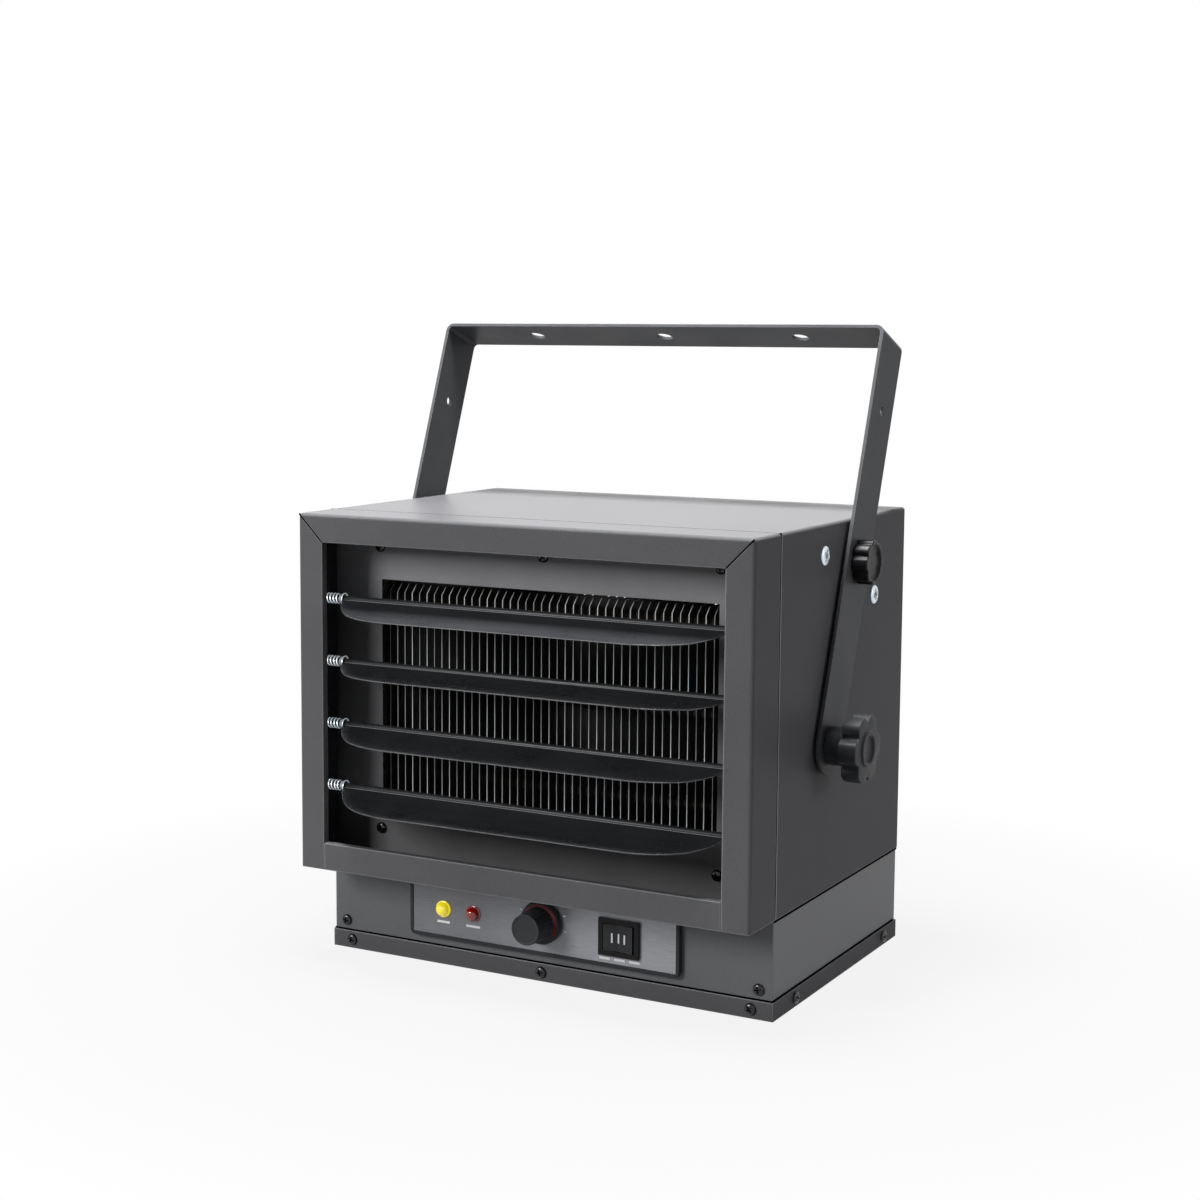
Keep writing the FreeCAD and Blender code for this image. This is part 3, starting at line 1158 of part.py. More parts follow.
def mounting_bracket():
    """Strap bent into a U, drawn upright from its pivot, then leaned back."""
    body = new_body("Strap")
    top = "arm_reach"
    foot = "-arm_width"
    outline = [
        ("-arm_outside", foot), ("-arm_outside", top), ("arm_outside", top), ("arm_outside", foot),
        ("arm_inside", foot), ("arm_inside", f"{top} - arm_sheet"),
        ("-arm_inside", f"{top} - arm_sheet"), ("-arm_inside", foot),
    ]
    pad(body, "XZ", [outline], "-arm_width / 2", "arm_width / 2")
    outside, inside, high, skin = size("arm_outside"), size("arm_inside"), size(top), size("arm_sheet")
    round_edges(body, "arm_bend", lambda edge: (
        lies_at(edge, x=outside, z=high) or lies_at(edge, x=-outside, z=high)))
    round_edges(body, "arm_bend - arm_sheet", lambda edge: (
        lies_at(edge, x=inside, z=high - skin) or lies_at(edge, x=-inside, z=high - skin)))
    blank = fuse([
        box(signs("arm_outside + overrun"), signs("arm_width / 2"), ("0", "arm_reach + overrun")),
        rod("arm_width / 2", "2 * (arm_outside + overrun)", ("-(arm_outside + overrun)", "0", "0"), "+x"),
    ])
    holes = [rod("strap_hole_dia / 2", "arm_sheet + 2 * overrun", (x, "0", f"{top} - arm_sheet - overrun"), "+z")
             for x in signs("strap_hole_pitch") + ["0"]]
    across = ("-arm_outside - overrun", "0")
    for radius, height in (("pivot_stud_dia / 2 + running_gap", "0"),
                           ("lock_stud_dia / 2 + running_gap", "index_radius"),
                           ("arm_hole_dia / 2", "arm_hole_reach")):
        holes.append(rod(radius, "2 * (arm_outside + overrun)", (*across, height), "+x"))
    bracket = cut(common(body, blank), holes)
    lean = Rotation(Vector(1, 0, 0), -size("arm_lean"))
    bracket.Placement = Placement(Vector(0, size("pivot_place"), size("pivot_height")), lean)
    keep("mounting_bracket", bracket)


def scalloped_knob(name, outline, scallop, lobes, low, high):
    """A turned knob with round cuts between its lobes."""
    knob = new_body(name)
    revolve(knob, outline)
    cutter = pocket(knob, "XY", [scallop], low, high)
    repeat_round(knob, cutter, "Z", lobes)
    doc.recompute()
    return knob


def bracket_knobs(side, axis):
    """Pivot knob and lock knob of one side, each with its stud."""
    bore = "pivot_stud_dia / 2 + running_gap"
    hub = "pivot_hub_length"
    head = "pivot_hub_length + pivot_head_thick"
    ring = f"{head} + pivot_ring_rise"
    pivot = scalloped_knob("PivotKnob", [
        (bore, "0"), ("pivot_hub_dia / 2", "0"), ("pivot_hub_dia / 2", hub),
        ("pivot_head_dia / 2 - head_edge", hub), ("pivot_head_dia / 2", f"{hub} + head_edge"),
        ("pivot_head_dia / 2", f"{head} - head_edge"), ("pivot_head_dia / 2 - head_edge", head),
        ("pivot_ring_dia / 2", head), ("pivot_ring_dia / 2", ring), ("pivot_dish_dia / 2", ring),
        ("pivot_dish_dia / 2", head), ("0", head), ("0", "stud_sink"), (bore, "stud_sink"),
    ], ("pivot_scallop_reach", "0", "pivot_scallop_dia / 2"), PIVOT_LOBES, f"{hub} - fit_gap", f"{head} + overrun")
    way = "" if axis == "+x" else "-"
    arm = f"{way}(arm_outside + fit_gap)"
    pivot.Placement = facing(axis, arm, "pivot_place", "pivot_height")
    keep(f"pivot_knob_{side}", pivot)
    inner = "inner_half - insert_length - stud_tail"
    outer = "arm_outside + fit_gap + stud_sink"
    keep(f"pivot_stud_{side}", rod("pivot_stud_dia / 2", f"{outer} - ({inner})",
                                   (f"{way}({inner})", "pivot_place", "pivot_height"), axis))

    lock_bore = "lock_stud_dia / 2 + running_gap"
    thick = "lock_head_thick"
    lock = scalloped_knob("LockKnob", [
        (lock_bore, "0"), ("lock_head_dia / 2 - head_edge", "0"), ("lock_head_dia / 2", "head_edge"),
        ("lock_head_dia / 2", f"{thick} - head_edge"), ("lock_head_dia / 2 - head_edge", thick),
        ("lock_dish_dia / 2", thick), ("lock_dish_dia / 2", f"{thick} - lock_dish_deep"),
        ("0", f"{thick} - lock_dish_deep"), ("0", "lock_stud_sink"), (lock_bore, "lock_stud_sink"),
    ], ("lock_scallop_reach", "0", "lock_scallop_dia / 2"), LOCK_LOBES, "-overrun", f"{thick} + overrun")
    y, z = index_places()[1]
    lock.Placement = facing(axis, arm, y, z)
    keep(f"lock_knob_{side}", lock)
    keep(f"lock_stud_{side}", rod("lock_stud_dia / 2", "arm_sheet + fit_gap + lock_stud_sink",
                                  (f"{way}arm_inside", y, z), axis))


def bracket_fixings():
    """Threaded inserts, spacer washers and the zinc screws that plug the tilt holes not in use."""
    both = (("", "+x"), ("-", "-x"))
    insert = new_body("PivotInsert")
    pad(insert, "XY", [("0", "0", "pivot_stud_dia / 2 + insert_wall"), ("0", "0", "pivot_stud_dia / 2 + running_gap")],
        "-insert_length", "0")
    group("pivot_inserts", insert,
          [facing(axis, f"{way}inner_half", "pivot_place", "pivot_height") for way, axis in both])
    small = new_body("IndexInsert")
    pad(small, "XY", [("0", "0", "lock_stud_dia / 2 + insert_wall"), ("0", "0", "lock_stud_dia / 2 + screw_gap")],
        "-insert_length", "0")
    group("index_inserts", small,
          [facing(axis, f"{way}inner_half", y, z) for way, axis in both for y, z in index_places()])
    washer = new_body("Washer")
    pad(washer, "XY", [("0", "0", "washer_dia / 2"), ("0", "0", "pivot_stud_dia / 2 + pivot_hole_gap")],
        "0", "arm_gap - washer_gap")
    group("pivot_washers", washer,
          [facing(axis, f"{way}half_width", "pivot_place", "pivot_height") for way, axis in both])
    screw = new_body("IndexScrew")
    shank = "lock_stud_dia / 2"
    revolve(screw, [
        ("0", "-index_screw_length"), (shank, "-index_screw_length"), (shank, "0"), ("index_head_dia / 2", "0"),
        ("index_head_dia / 2", "index_head_rim"), ("index_head_dia / 4", "index_head_tall"), ("0", "index_head_tall"),
    ])
    unused = [index_places()[0], index_places()[2]]
    group("index_screws", screw, [facing(axis, f"{way}half_width", y, z) for way, axis in both for y, z in unused])


def case_screws():
    """Black pan-head screws, one group for each panel."""
    screw = new_body("PanScrew")
    shank = "screw_dia / 2"
    revolve(screw, [
        ("0", "-screw_length"), (shank, "-screw_length"), (shank, "0"), ("screw_head_dia / 2", "0"),
        ("screw_head_dia / 2", f"screw_head_tall * {1 - SCREW_DOME_SHARE}"),
        (f"screw_head_dia / 2 * {SCREW_DOME_SHARE}", "screw_head_tall"), ("0", "screw_head_tall"),
    ])
    group("baffle_screws", screw, [facing("-y", x, "front_plane", z) for x, z in BAFFLE_SCREWS + LIP_SCREWS])
    group("box_screws", screw,
          [facing("-y", x, "front_plane", "box_screw_height") for x in signs("box_screw_place")])
    tray = [facing("-y", x, "front_plane - sheet", "tray_screw_height") for x in TRAY_FRONT_SCREWS]
    tray += [facing(axis, f"{way}half_width", y, "tray_screw_height")
             for way, axis in (("", "+x"), ("-", "-x")) for y in TRAY_SIDE_SCREWS]
    group("tray_screws", screw, tray)
    group("rear_screws", screw, [facing("+y", x, "rear_plane", z) for x, z in REAR_SCREWS])


def check_and_write():
    """Stop on any failed object or broken solid; otherwise write one file for each sub-part."""
    doc.recompute()
    failed = [item.Label for item in doc.Objects if {"Invalid", "Error"} & set(item.State)]
    broken = [label for label, item in nodes.items() if item.Shape.isNull() or not item.Shape.isValid()]
    if failed or broken:
        raise ValueError(f"failed objects {failed}, broken sub-parts {broken}")
    os.makedirs("parts", exist_ok=True)
    for label, item in nodes.items():
        item.Shape.exportStep(f"parts/{label}.step")
    solids = sum(len(item.Shape.Solids) for item in nodes.values())
    print(f"{len(nodes)} sub-parts, {solids} solids")


fill_sheet()
casing_wrap()
front_surround()
surround_bottom_rail()
front_baffle()
casing_floor()
rear_panel()
fan_guard()
fan_bulkhead()
motor()
fan_rotor()
heating_block()
control_box()
control_panel()
thermostat_knob()
switch_rocker()
for louver_number in range(len(LOUVER_DROOPS)):
    louver(louver_number)
louver_rails()
louver_springs()
mounting_bracket()
for knob_side, knob_axis in (("right", "+x"), ("left", "-x")):
    bracket_knobs(knob_side, knob_axis)
bracket_fixings()
case_screws()
check_and_write()
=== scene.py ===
# %% [markdown]
# # A garage heater, dressed over its CAD frame
# The imported CAD model gives every size and every joint. This notebook adds what a drawing leaves out:
# the grain of the powder coat, rolled louvers, coiled springs, moulded knobs and the printed controls.
# We load the frame first.

# %% Load the frame
import json
import math

import bmesh
import bpy
import numpy as np
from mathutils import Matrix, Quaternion, Vector


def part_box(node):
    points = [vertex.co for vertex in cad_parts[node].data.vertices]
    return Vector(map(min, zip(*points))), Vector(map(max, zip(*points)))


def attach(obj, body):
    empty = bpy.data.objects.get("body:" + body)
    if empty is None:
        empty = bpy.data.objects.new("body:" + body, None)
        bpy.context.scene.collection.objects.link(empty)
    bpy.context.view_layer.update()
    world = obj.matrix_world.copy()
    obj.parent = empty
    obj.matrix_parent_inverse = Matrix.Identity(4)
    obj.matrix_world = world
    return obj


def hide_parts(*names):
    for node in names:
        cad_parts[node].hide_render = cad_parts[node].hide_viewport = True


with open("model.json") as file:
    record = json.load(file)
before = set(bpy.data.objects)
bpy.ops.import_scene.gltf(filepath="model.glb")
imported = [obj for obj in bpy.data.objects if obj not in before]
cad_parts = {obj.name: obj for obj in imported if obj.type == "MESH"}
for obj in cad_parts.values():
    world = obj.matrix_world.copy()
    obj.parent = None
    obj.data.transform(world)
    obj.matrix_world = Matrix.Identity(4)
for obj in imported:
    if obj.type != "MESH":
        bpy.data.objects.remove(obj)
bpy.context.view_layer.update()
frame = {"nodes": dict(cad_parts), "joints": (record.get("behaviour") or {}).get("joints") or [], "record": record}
nodes, record = frame["nodes"], frame["record"]
joints = {joint["name"]: joint for joint in frame["joints"]}
MM = 0.001

# %% [markdown]
# ## Camera
# The photograph was taken from the right and a little above. A pinhole camera was fitted to the straight
# edges of the casing, which gives the place, the direction and the focal length. The heater sits off the
# middle of the picture, so the lens is shifted a little, as on a studio camera.

# %% Camera
CAMERA_PLACE = Vector((743.8, -1449.7, 479.9)) * MM
YAW, PITCH, ROLL = 0.5217, -0.1125, 0.003
FOCAL_PX, CENTRE_X, CENTRE_Y, PICTURE_PX, SENSOR_MM = 2131.7, 519.4, 564.5, 1200, 36

forward = Vector((-math.sin(YAW) * math.cos(PITCH), math.cos(YAW) * math.cos(PITCH), math.sin(PITCH)))
lens = bpy.data.cameras.new("camera")
lens.sensor_width = SENSOR_MM
lens.lens = FOCAL_PX / PICTURE_PX * SENSOR_MM
lens.shift_x = (PICTURE_PX / 2 - CENTRE_X) / PICTURE_PX
lens.shift_y = (CENTRE_Y - PICTURE_PX / 2) / PICTURE_PX
camera = bpy.data.objects.new("camera", lens)
camera.location = CAMERA_PLACE
camera.rotation_mode = "QUATERNION"
camera.rotation_quaternion = Quaternion(forward, -ROLL) @ forward.to_track_quat("-Z", "Y")
bpy.context.scene.collection.objects.link(camera)
bpy.context.scene.camera = camera
bpy.context.scene.view_settings.view_transform = "Standard"
print(f"lens {lens.lens:.1f} mm, shift {lens.shift_x:.3f}, {lens.shift_y:.3f}")

# %% [markdown]
# ## Node helpers
# Materials and the world are small graphs of nodes. They could be drawn by hand in the node editor, but a
# script can be read, repeated and changed in one place. One function turns a colour code to linear light,
# and another adds any node with its settings and links.

# %% Node helpers
def linear(code):
    """sRGB hex to linear RGBA: c/12.92 in the darks, ((c + 0.055)/1.055)^2.4 above."""
    c = np.array([int(code[i:i + 2], 16) for i in (1, 3, 5)]) / 255
    return (*np.where(c <= 0.04045, c / 12.92, ((c + 0.055) / 1.055) ** 2.4).tolist(), 1.0)


def add_node(tree, kind, links=None, **settings):
    """Add a node, apply its settings, and give each named input a value or a link."""
    node = tree.nodes.new(kind)
    for name, value in settings.items():
        setattr(node, name, value)
    for name, value in (links or {}).items():
        if isinstance(value, bpy.types.NodeSocket):
            tree.links.new(value, node.inputs[name])
        else:
            node.inputs[name].default_value = value
    return node


print(f"mid grey #808080 is {linear('#808080')[0]:.3f} in linear light")

# %% [markdown]
# ## Studio
# The object stands on a white sweep. The world is white where the camera sees it, straight or in a shiny
# surface, and a dim room as a light source, so that the paint keeps the colour it is written in and the side
# away from the lamps stays dark. Five lamps do the rest: one from the front left, one overhead that makes the
# top of the casing pale and draws the louvers' shadows, one behind the heater and a weak one on its right,
# which keep the back and the side from going black. A last, tiny one at the front right is for plated wire.

# %% World and lamps
def seen_rays(tree):
    """1 for what the camera sees straight, in a shiny surface or through a clear one, 0 for other light."""
    path = add_node(tree, "ShaderNodeLightPath").outputs
    mirrored = add_node(tree, "ShaderNodeMath", {0: path["Is Camera Ray"], 1: path["Is Glossy Ray"]},
                        operation="ADD")
    return add_node(tree, "ShaderNodeMath", {0: mirrored.outputs[0], 1: path["Is Transmission Ray"]},
                    operation="ADD", use_clamp=True).outputs[0]


def soft_light(name, place, target, size, watts):
    """A square area lamp at a place, turned to a target."""
    lamp = bpy.data.lights.new(name, "AREA")
    lamp.shape = "SQUARE"
    lamp.size = size
    lamp.energy = watts
    holder = bpy.data.objects.new(name, lamp)
    holder.location = place
    holder.visible_camera = False
    holder.rotation_euler = (Vector(target) - Vector(place)).to_track_quat("-Z", "Y").to_euler()
    bpy.context.scene.collection.objects.link(holder)
    return holder


ROOM_STRENGTH = 0.18
world = bpy.data.worlds.new("studio")
bpy.context.scene.world = world
world.use_nodes = True
tree = world.node_tree
tree.nodes.clear()
room = add_node(tree, "ShaderNodeBackground", {"Color": linear("#F2F5FF"), "Strength": ROOM_STRENGTH})
white = add_node(tree, "ShaderNodeBackground", {"Color": linear("#FFFFFF"), "Strength": 1.0})
mixed = add_node(tree, "ShaderNodeMixShader", {0: seen_rays(tree), 1: room.outputs[0], 2: white.outputs[0]})
add_node(tree, "ShaderNodeOutputWorld", {"Surface": mixed.outputs[0]})

soft_light("key", place=(-1.1, -2.2, 1.15), target=(0, -0.1, 0.25), size=0.9, watts=46)
soft_light("top", place=(-0.1, -0.19, 1.9), target=(0, -0.17, 0.3), size=0.45, watts=80)
soft_light("back", place=(-1.2, 2.4, 1.0), target=(0, 0, 0.34), size=1.6, watts=12)
soft_light("fill", place=(2.2, 0.2, 0.8), target=(0.18, 0, 0.2), size=1.0, watts=8)
glint = soft_light("glint", place=(1.3, -1.7, 0.7), target=(0, -0.1, 0.2), size=0.2, watts=90)
print("white world and five lamps")

# %% [markdown]
# ## Paper floor
# In a studio, the heater would stand on a roll of white paper. A plain white plane would do, but it would
# light the lower box from below. So this paper is white to the eye and in shiny metal, and gives back little
# light, which keeps the lower box as dark as the rest. Near the object it still takes a little shadow.

# %% Paper floor
FLOOR_HALF = 6.0
# Distances from the middle, in metres, over which the paper darkens for light and turns white for the eye.
TONE_SPAN, GLOW_SPAN, GLOW_SHARES = (0.35, 0.9), (0.25, 0.6), (0.88, 1.0)

floor_mesh = bpy.data.meshes.new("floor")
floor_mesh.from_pydata([(-FLOOR_HALF, -FLOOR_HALF, 0), (FLOOR_HALF, -FLOOR_HALF, 0),
                        (FLOOR_HALF, FLOOR_HALF, 0), (-FLOOR_HALF, FLOOR_HALF, 0)], [], [(0, 1, 2, 3)])
floor = bpy.data.objects.new("floor", floor_mesh)
bpy.context.scene.collection.objects.link(floor)
paper = bpy.data.materials.new("matt_white_paper")
paper.use_nodes = True
tree = paper.node_tree
tree.nodes.clear()
glow = add_node(tree, "ShaderNodeEmission", {"Color": linear("#FFFFFF"), "Strength": 1.0})
place = add_node(tree, "ShaderNodeTexCoord").outputs["Object"]
far = add_node(tree, "ShaderNodeVectorMath", {0: place}, operation="LENGTH").outputs["Value"]
fade = add_node(tree, "ShaderNodeMapRange", {
    "Value": far, "From Min": TONE_SPAN[0], "From Max": TONE_SPAN[1]})
tone = add_node(tree, "ShaderNodeMix", {
    "Factor": fade.outputs[0], 6: linear("#787878"), 7: linear("#505050")}, data_type="RGBA")
lit = add_node(tree, "ShaderNodeBsdfDiffuse", {"Color": tone.outputs[2]})
whiteness = add_node(tree, "ShaderNodeMapRange", {
    "Value": far, "From Min": GLOW_SPAN[0], "From Max": GLOW_SPAN[1],
    "To Min": GLOW_SHARES[0], "To Max": GLOW_SHARES[1]})
share = add_node(tree, "ShaderNodeMath", {0: seen_rays(tree), 1: whiteness.outputs[0]}, operation="MULTIPLY")
mixed = add_node(tree, "ShaderNodeMixShader", {0: share.outputs[0], 1: lit.outputs[0], 2: glow.outputs[0]})
add_node(tree, "ShaderNodeOutputMaterial", {"Surface": mixed.outputs[0]})
floor_mesh.materials.append(paper)
print(f"paper floor, {2 * FLOOR_HALF:.0f} m wide")

# %% [markdown]
# ## Finishes
# Each finish starts from the real material. Powder coat is a fine orange peel with specks, zinc is a bright
# metal with faint crystals, moulded plastic has a spark-eroded grain. Patterns read Object coordinates, which
# are metres here, so a pattern of so many millimetres has a scale of 1000 divided by that number. A Mix node
# that is set to RGBA has its two colours at inputs 6 and 7 and its result at output 2.

# %% A finish with grain, mottling and rounded edges
# Limits between which the two noises together blend the shades, and the mottling moves the roughness.
GRAIN_BLEND, MOTTLE_BLEND = (0.7, 1.3), (0.3, 0.7)
# Cosine between the rounded normal and the face's own: a plain edge, and one fully lightened, partly as wear and
# partly as a painted highlight.
WEAR_AND_HIGHLIGHT_TURN, WEAR_AND_HIGHLIGHT_COLOUR = (0.99, 0.88), "#C4C4C6"
# Open part of the sky over a point: fully darkened with painted shade, and not darkened at all.
RECESS_SHADE_SKY, RECESS_SHADE = (0.42, 0.8), "#0E0F11"


def per_mm(size_mm):
    """Texture scale that makes one feature about this many millimetres: one over the size in metres."""
    return 1 / (size_mm * MM)


def new_finish(name):
    """An empty material with a Principled shader; returns the material, its tree and that shader."""
    material = bpy.data.materials.new(name)
    material.use_nodes = True
    tree = material.node_tree
    tree.nodes.clear()
    shader = add_node(tree, "ShaderNodeBsdfPrincipled")
    add_node(tree, "ShaderNodeOutputMaterial", {"Surface": shader.outputs[0]})
    return material, tree, shader


def coated(name, dark, light, roughness, grain_mm, bump, mottle_mm=40, edge_mm=0.7, metallic=0.0,
           spread=0.06, stretch=(1, 1, 1), gloss=0.12, wear_and_highlight=0.0, recess_shade_mm=0.0):
    """Paint, plastic or metal: fine grain moves the colour between two shades and lifts the surface,
    slow mottling moves the roughness, and edges are rounded in the shading. Where the rounded normal leaves
    the face's own, the coat is lightened by a share, partly as wear and partly as a painted edge highlight.
    If a shade width in millimetres is given, recesses about that wide are darkened with painted shade."""
    material, tree, shader = new_finish(name)
    place = add_node(tree, "ShaderNodeTexCoord").outputs["Object"]
    place = add_node(tree, "ShaderNodeMapping", {"Vector": place, "Scale": stretch}).outputs[0]
    grain = add_node(tree, "ShaderNodeTexNoise", {
        "Vector": place, "Scale": per_mm(grain_mm), "Detail": 3.0, "Roughness": 0.6}).outputs["Fac"]
    mottle = add_node(tree, "ShaderNodeTexNoise", {
        "Vector": place, "Scale": per_mm(mottle_mm), "Detail": 4.0}).outputs["Fac"]
    blend = add_node(tree, "ShaderNodeMath", {0: grain, 1: mottle}, operation="ADD")
    ramp = add_node(tree, "ShaderNodeMapRange", {
        "Value": blend.outputs[0], "From Min": GRAIN_BLEND[0], "From Max": GRAIN_BLEND[1]})
    shade = add_node(tree, "ShaderNodeMix", {
        "Factor": ramp.outputs[0], 6: linear(dark), 7: linear(light)}, data_type="RGBA")
    rough = add_node(tree, "ShaderNodeMapRange", {
        "Value": mottle, "From Min": MOTTLE_BLEND[0], "From Max": MOTTLE_BLEND[1],
        "To Min": roughness - spread, "To Max": roughness + spread})
    edge = add_node(tree, "ShaderNodeBevel", {"Radius": edge_mm * MM}, samples=4).outputs[0]
    # Lightened edges: partly wear, partly a painted highlight along the edge.
    if wear_and_highlight:
        own = add_node(tree, "ShaderNodeNewGeometry").outputs["True Normal"]
        turned = add_node(tree, "ShaderNodeVectorMath", {0: edge, 1: own}, operation="DOT_PRODUCT")
        worn_and_highlit = add_node(tree, "ShaderNodeMapRange", {
            "Value": turned.outputs["Value"], "From Min": WEAR_AND_HIGHLIGHT_TURN[0], "From Max": WEAR_AND_HIGHLIGHT_TURN[1],
            "To Min": 0.0, "To Max": wear_and_highlight})
        shade = add_node(tree, "ShaderNodeMix", {
            "Factor": worn_and_highlit.outputs[0], 6: shade.outputs[2], 7: linear(WEAR_AND_HIGHLIGHT_COLOUR)}, data_type="RGBA")
    # Painted shade: recesses are darkened by how little of the sky they see.
    if recess_shade_mm:
        sky = add_node(tree, "ShaderNodeAmbientOcclusion", {"Distance": recess_shade_mm * MM}, samples=8)
        unshaded = add_node(tree, "ShaderNodeMapRange", {
            "Value": sky.outputs["AO"], "From Min": RECESS_SHADE_SKY[0], "From Max": RECESS_SHADE_SKY[1]})
        shade = add_node(tree, "ShaderNodeMix", {
            "Factor": unshaded.outputs[0], 6: linear(RECESS_SHADE), 7: shade.outputs[2]}, data_type="RGBA")
    half_grain = grain_mm * MM / 2
    relief = add_node(tree, "ShaderNodeBump", {
        "Height": grain, "Strength": bump, "Distance": half_grain, "Normal": edge})
    tree.links.new(shade.outputs[2], shader.inputs["Base Color"])
    tree.links.new(rough.outputs[0], shader.inputs["Roughness"])
    tree.links.new(relief.outputs[0], shader.inputs["Normal"])
    shader.inputs["Metallic"].default_value = metallic
    shader.inputs["Specular IOR Level"].default_value = gloss
    return material


def graded(material, axis, span, shares):
    """The base colour times a share, which runs from one to another over a span in metres along an axis."""
    tree = material.node_tree
    base = next(node for node in tree.nodes if node.type == "BSDF_PRINCIPLED").inputs["Base Color"]
    place = add_node(tree, "ShaderNodeTexCoord").outputs["Object"]
    along = add_node(tree, "ShaderNodeSeparateXYZ", {0: place}).outputs[axis]
    share = add_node(tree, "ShaderNodeMapRange", {
        "Value": along, "From Min": span[0], "From Max": span[1], "To Min": shares[0], "To Max": shares[1]})
    shade = add_node(tree, "ShaderNodeMix", {
        "Factor": 1.0, 6: base.links[0].from_socket, 7: share.outputs[0]},
        data_type="RGBA", blend_type="MULTIPLY")
    tree.links.new(shade.outputs[2], base)


# %% [markdown]
# ### Paints
# Most of the heater is sheet steel with a powder coat, which is sprayed on as dust and baked. The paints
# differ only in shade, shine, grain, and wear with painted edge highlights, so that one function makes them all.

# %% Paints
# Where a share of wear is given, edges are lightened, partly as wear and partly as a painted highlight.
# Polyester powder coat on steel: charcoal, half matt, fine orange peel. Drawn at 0.9 mm so that it shows.
powder = coated("charcoal_powder_coat", "#575759", "#616163", roughness=0.42, grain_mm=0.9, bump=0.14,
                mottle_mm=120, edge_mm=1.5, spread=0.015, gloss=0.02, wear_and_highlight=0.6)
# The lower box has the same coat painted a shade lighter, a painted sheen for the light that it catches. The rim
# round its controls is darker and smoother.
box_coat_painted_sheen = coated("box_powder_coat_painted_sheen", "#5A5B5D", "#656668", roughness=0.42, grain_mm=0.9, bump=0.14,
                  mottle_mm=120, edge_mm=1.5, spread=0.015, gloss=0.28, wear_and_highlight=0.4)
rim_coat = coated("dark_rim_paint", "#2C2D2F", "#36373A", roughness=0.35, grain_mm=0.8, bump=0.08,
                  edge_mm=0.6)
# On the casing's folded hem the coat is painted paler: a painted highlight for the light that the fold's rounded
# edge catches.
hem_highlight_coat = coated("hem_coat_painted_highlight", "#88888A", "#9A9A9C", roughness=0.42, grain_mm=0.9, bump=0.1)
# The same coat inside the surround, smoother, and painted lighter for the light that falls on it. Below its top it
# is darkened with painted shade, where the louvers shade it.
inner_coat_painted_light_and_shade = coated("inner_powder_coat_painted_light_and_shade", "#8A8A8C", "#969698", roughness=0.42, grain_mm=1.0, bump=0.12,
                    wear_and_highlight=0.3)
# Painted shade: darker below the top edge, under the louvers.
graded(inner_coat_painted_light_and_shade, "Z", span=(0.262, 0.305), shares=(0.42, 1.0))
# Strap steel with a smoother, darker coat.
strap_coat = coated("dark_strap_coat", "#4A4B4D", "#555658", roughness=0.4, grain_mm=0.8, bump=0.12,
                    gloss=0.05, wear_and_highlight=0.25)
# Baked black enamel on the louvers: satin, with long soft reflections.
enamel = coated("black_baked_enamel", "#242527", "#303133", roughness=0.3, grain_mm=0.7, bump=0.05,
                edge_mm=0.6, gloss=0.2, wear_and_highlight=0.4)
# Stoved enamel on the guard wire and grey paint on the motor, both plain and half matt.
wire_enamel = coated("black_wire_enamel", "#202022", "#2A2A2C", roughness=0.4, grain_mm=0.8, bump=0.1,
                     edge_mm=0.2)
motor_paint = coated("grey_motor_paint", "#34363A", "#424448", roughness=0.5, grain_mm=1.0, bump=0.15)
print(len(bpy.data.materials), "materials so far")

# %% [markdown]
# ### Metals
# Index screws and springs are plated, pan screws are blackened, the sheet behind the guard is galvanised, the
# tubes are oxidised and the control plate is brushed. Bare metal would mirror the white room. Films of oxide,
# oil and lacquer dull the real ones, so these are metallic in part only, and the black screws not at all.

# %% Metals
# Bright zinc plate: a cool silver with faint crystals, darkened with painted shade in its recesses and between the
# coils.
zinc = coated("bright_zinc_plate_painted_shade", "#CFDDE8", "#F2F8FC", roughness=0.3, grain_mm=1.2, bump=0.1,
              metallic=0.7, edge_mm=0.2, gloss=0.5, recess_shade_mm=3.0)
# Hot-dip galvanised sheet behind the guard: dull grey, with spangles about 8 mm wide.
galvanised = coated("dull_galvanised_sheet", "#4E5256", "#6A6E72", roughness=0.5, grain_mm=8.0, bump=0.03,
                    metallic=0.7, gloss=0.4)
# Heating tube: steel with a brown oxide film.
tube_steel = coated("oxidised_tube_steel", "#4C4540", "#77706A", roughness=0.42, grain_mm=1.5, bump=0.1,
                    metallic=0.8, edge_mm=0.1, gloss=0.5)
# Black oxide on the pan heads: near black, with a small soft highlight.
oxide = coated("black_oxide", "#060607", "#101011", roughness=0.2, grain_mm=0.6, bump=0.08, edge_mm=0.2,
               gloss=0.45)
# Brushed control plate: grain drawn out along the width, and a painted reflection that makes it lighter towards
# the right end and darker towards the left.
plate_metal_painted_reflection = coated("brushed_control_plate_painted_reflection", "#717276", "#8D8E92", roughness=0.34, grain_mm=0.5,
                     bump=0.1, metallic=0.35, edge_mm=0.2, stretch=(0.04, 1, 1), gloss=0.3)
graded(plate_metal_painted_reflection, "X", span=(-0.05, 0.05), shares=(0.72, 1.2))
print(len(bpy.data.materials), "materials so far")

# %% [markdown]
# ### Ceramic, plastics and painted seam shadow
# The tubes end in ceramic and the knobs and the switch are moulded. Dead matt black strips in the seams are
# painted shadow. Each could have a shader of its own, but they differ from paint only in shade, roughness and
# grain, so that the same function makes them, with no metallic share.

# %% Ceramic, plastics and painted seam shadow
# Unglazed white ceramic of the tube ends and the terminal block.
ceramic = coated("unglazed_ceramic", "#DAD5C8", "#ECE8DE", roughness=0.7, grain_mm=0.8, bump=0.15)
# Moulded phenolic and ABS: near black with a spark-eroded grain.
plastic = coated("black_moulded_plastic", "#141415", "#1D1D1F", roughness=0.36, grain_mm=0.5, bump=0.12,
                 edge_mm=0.4)
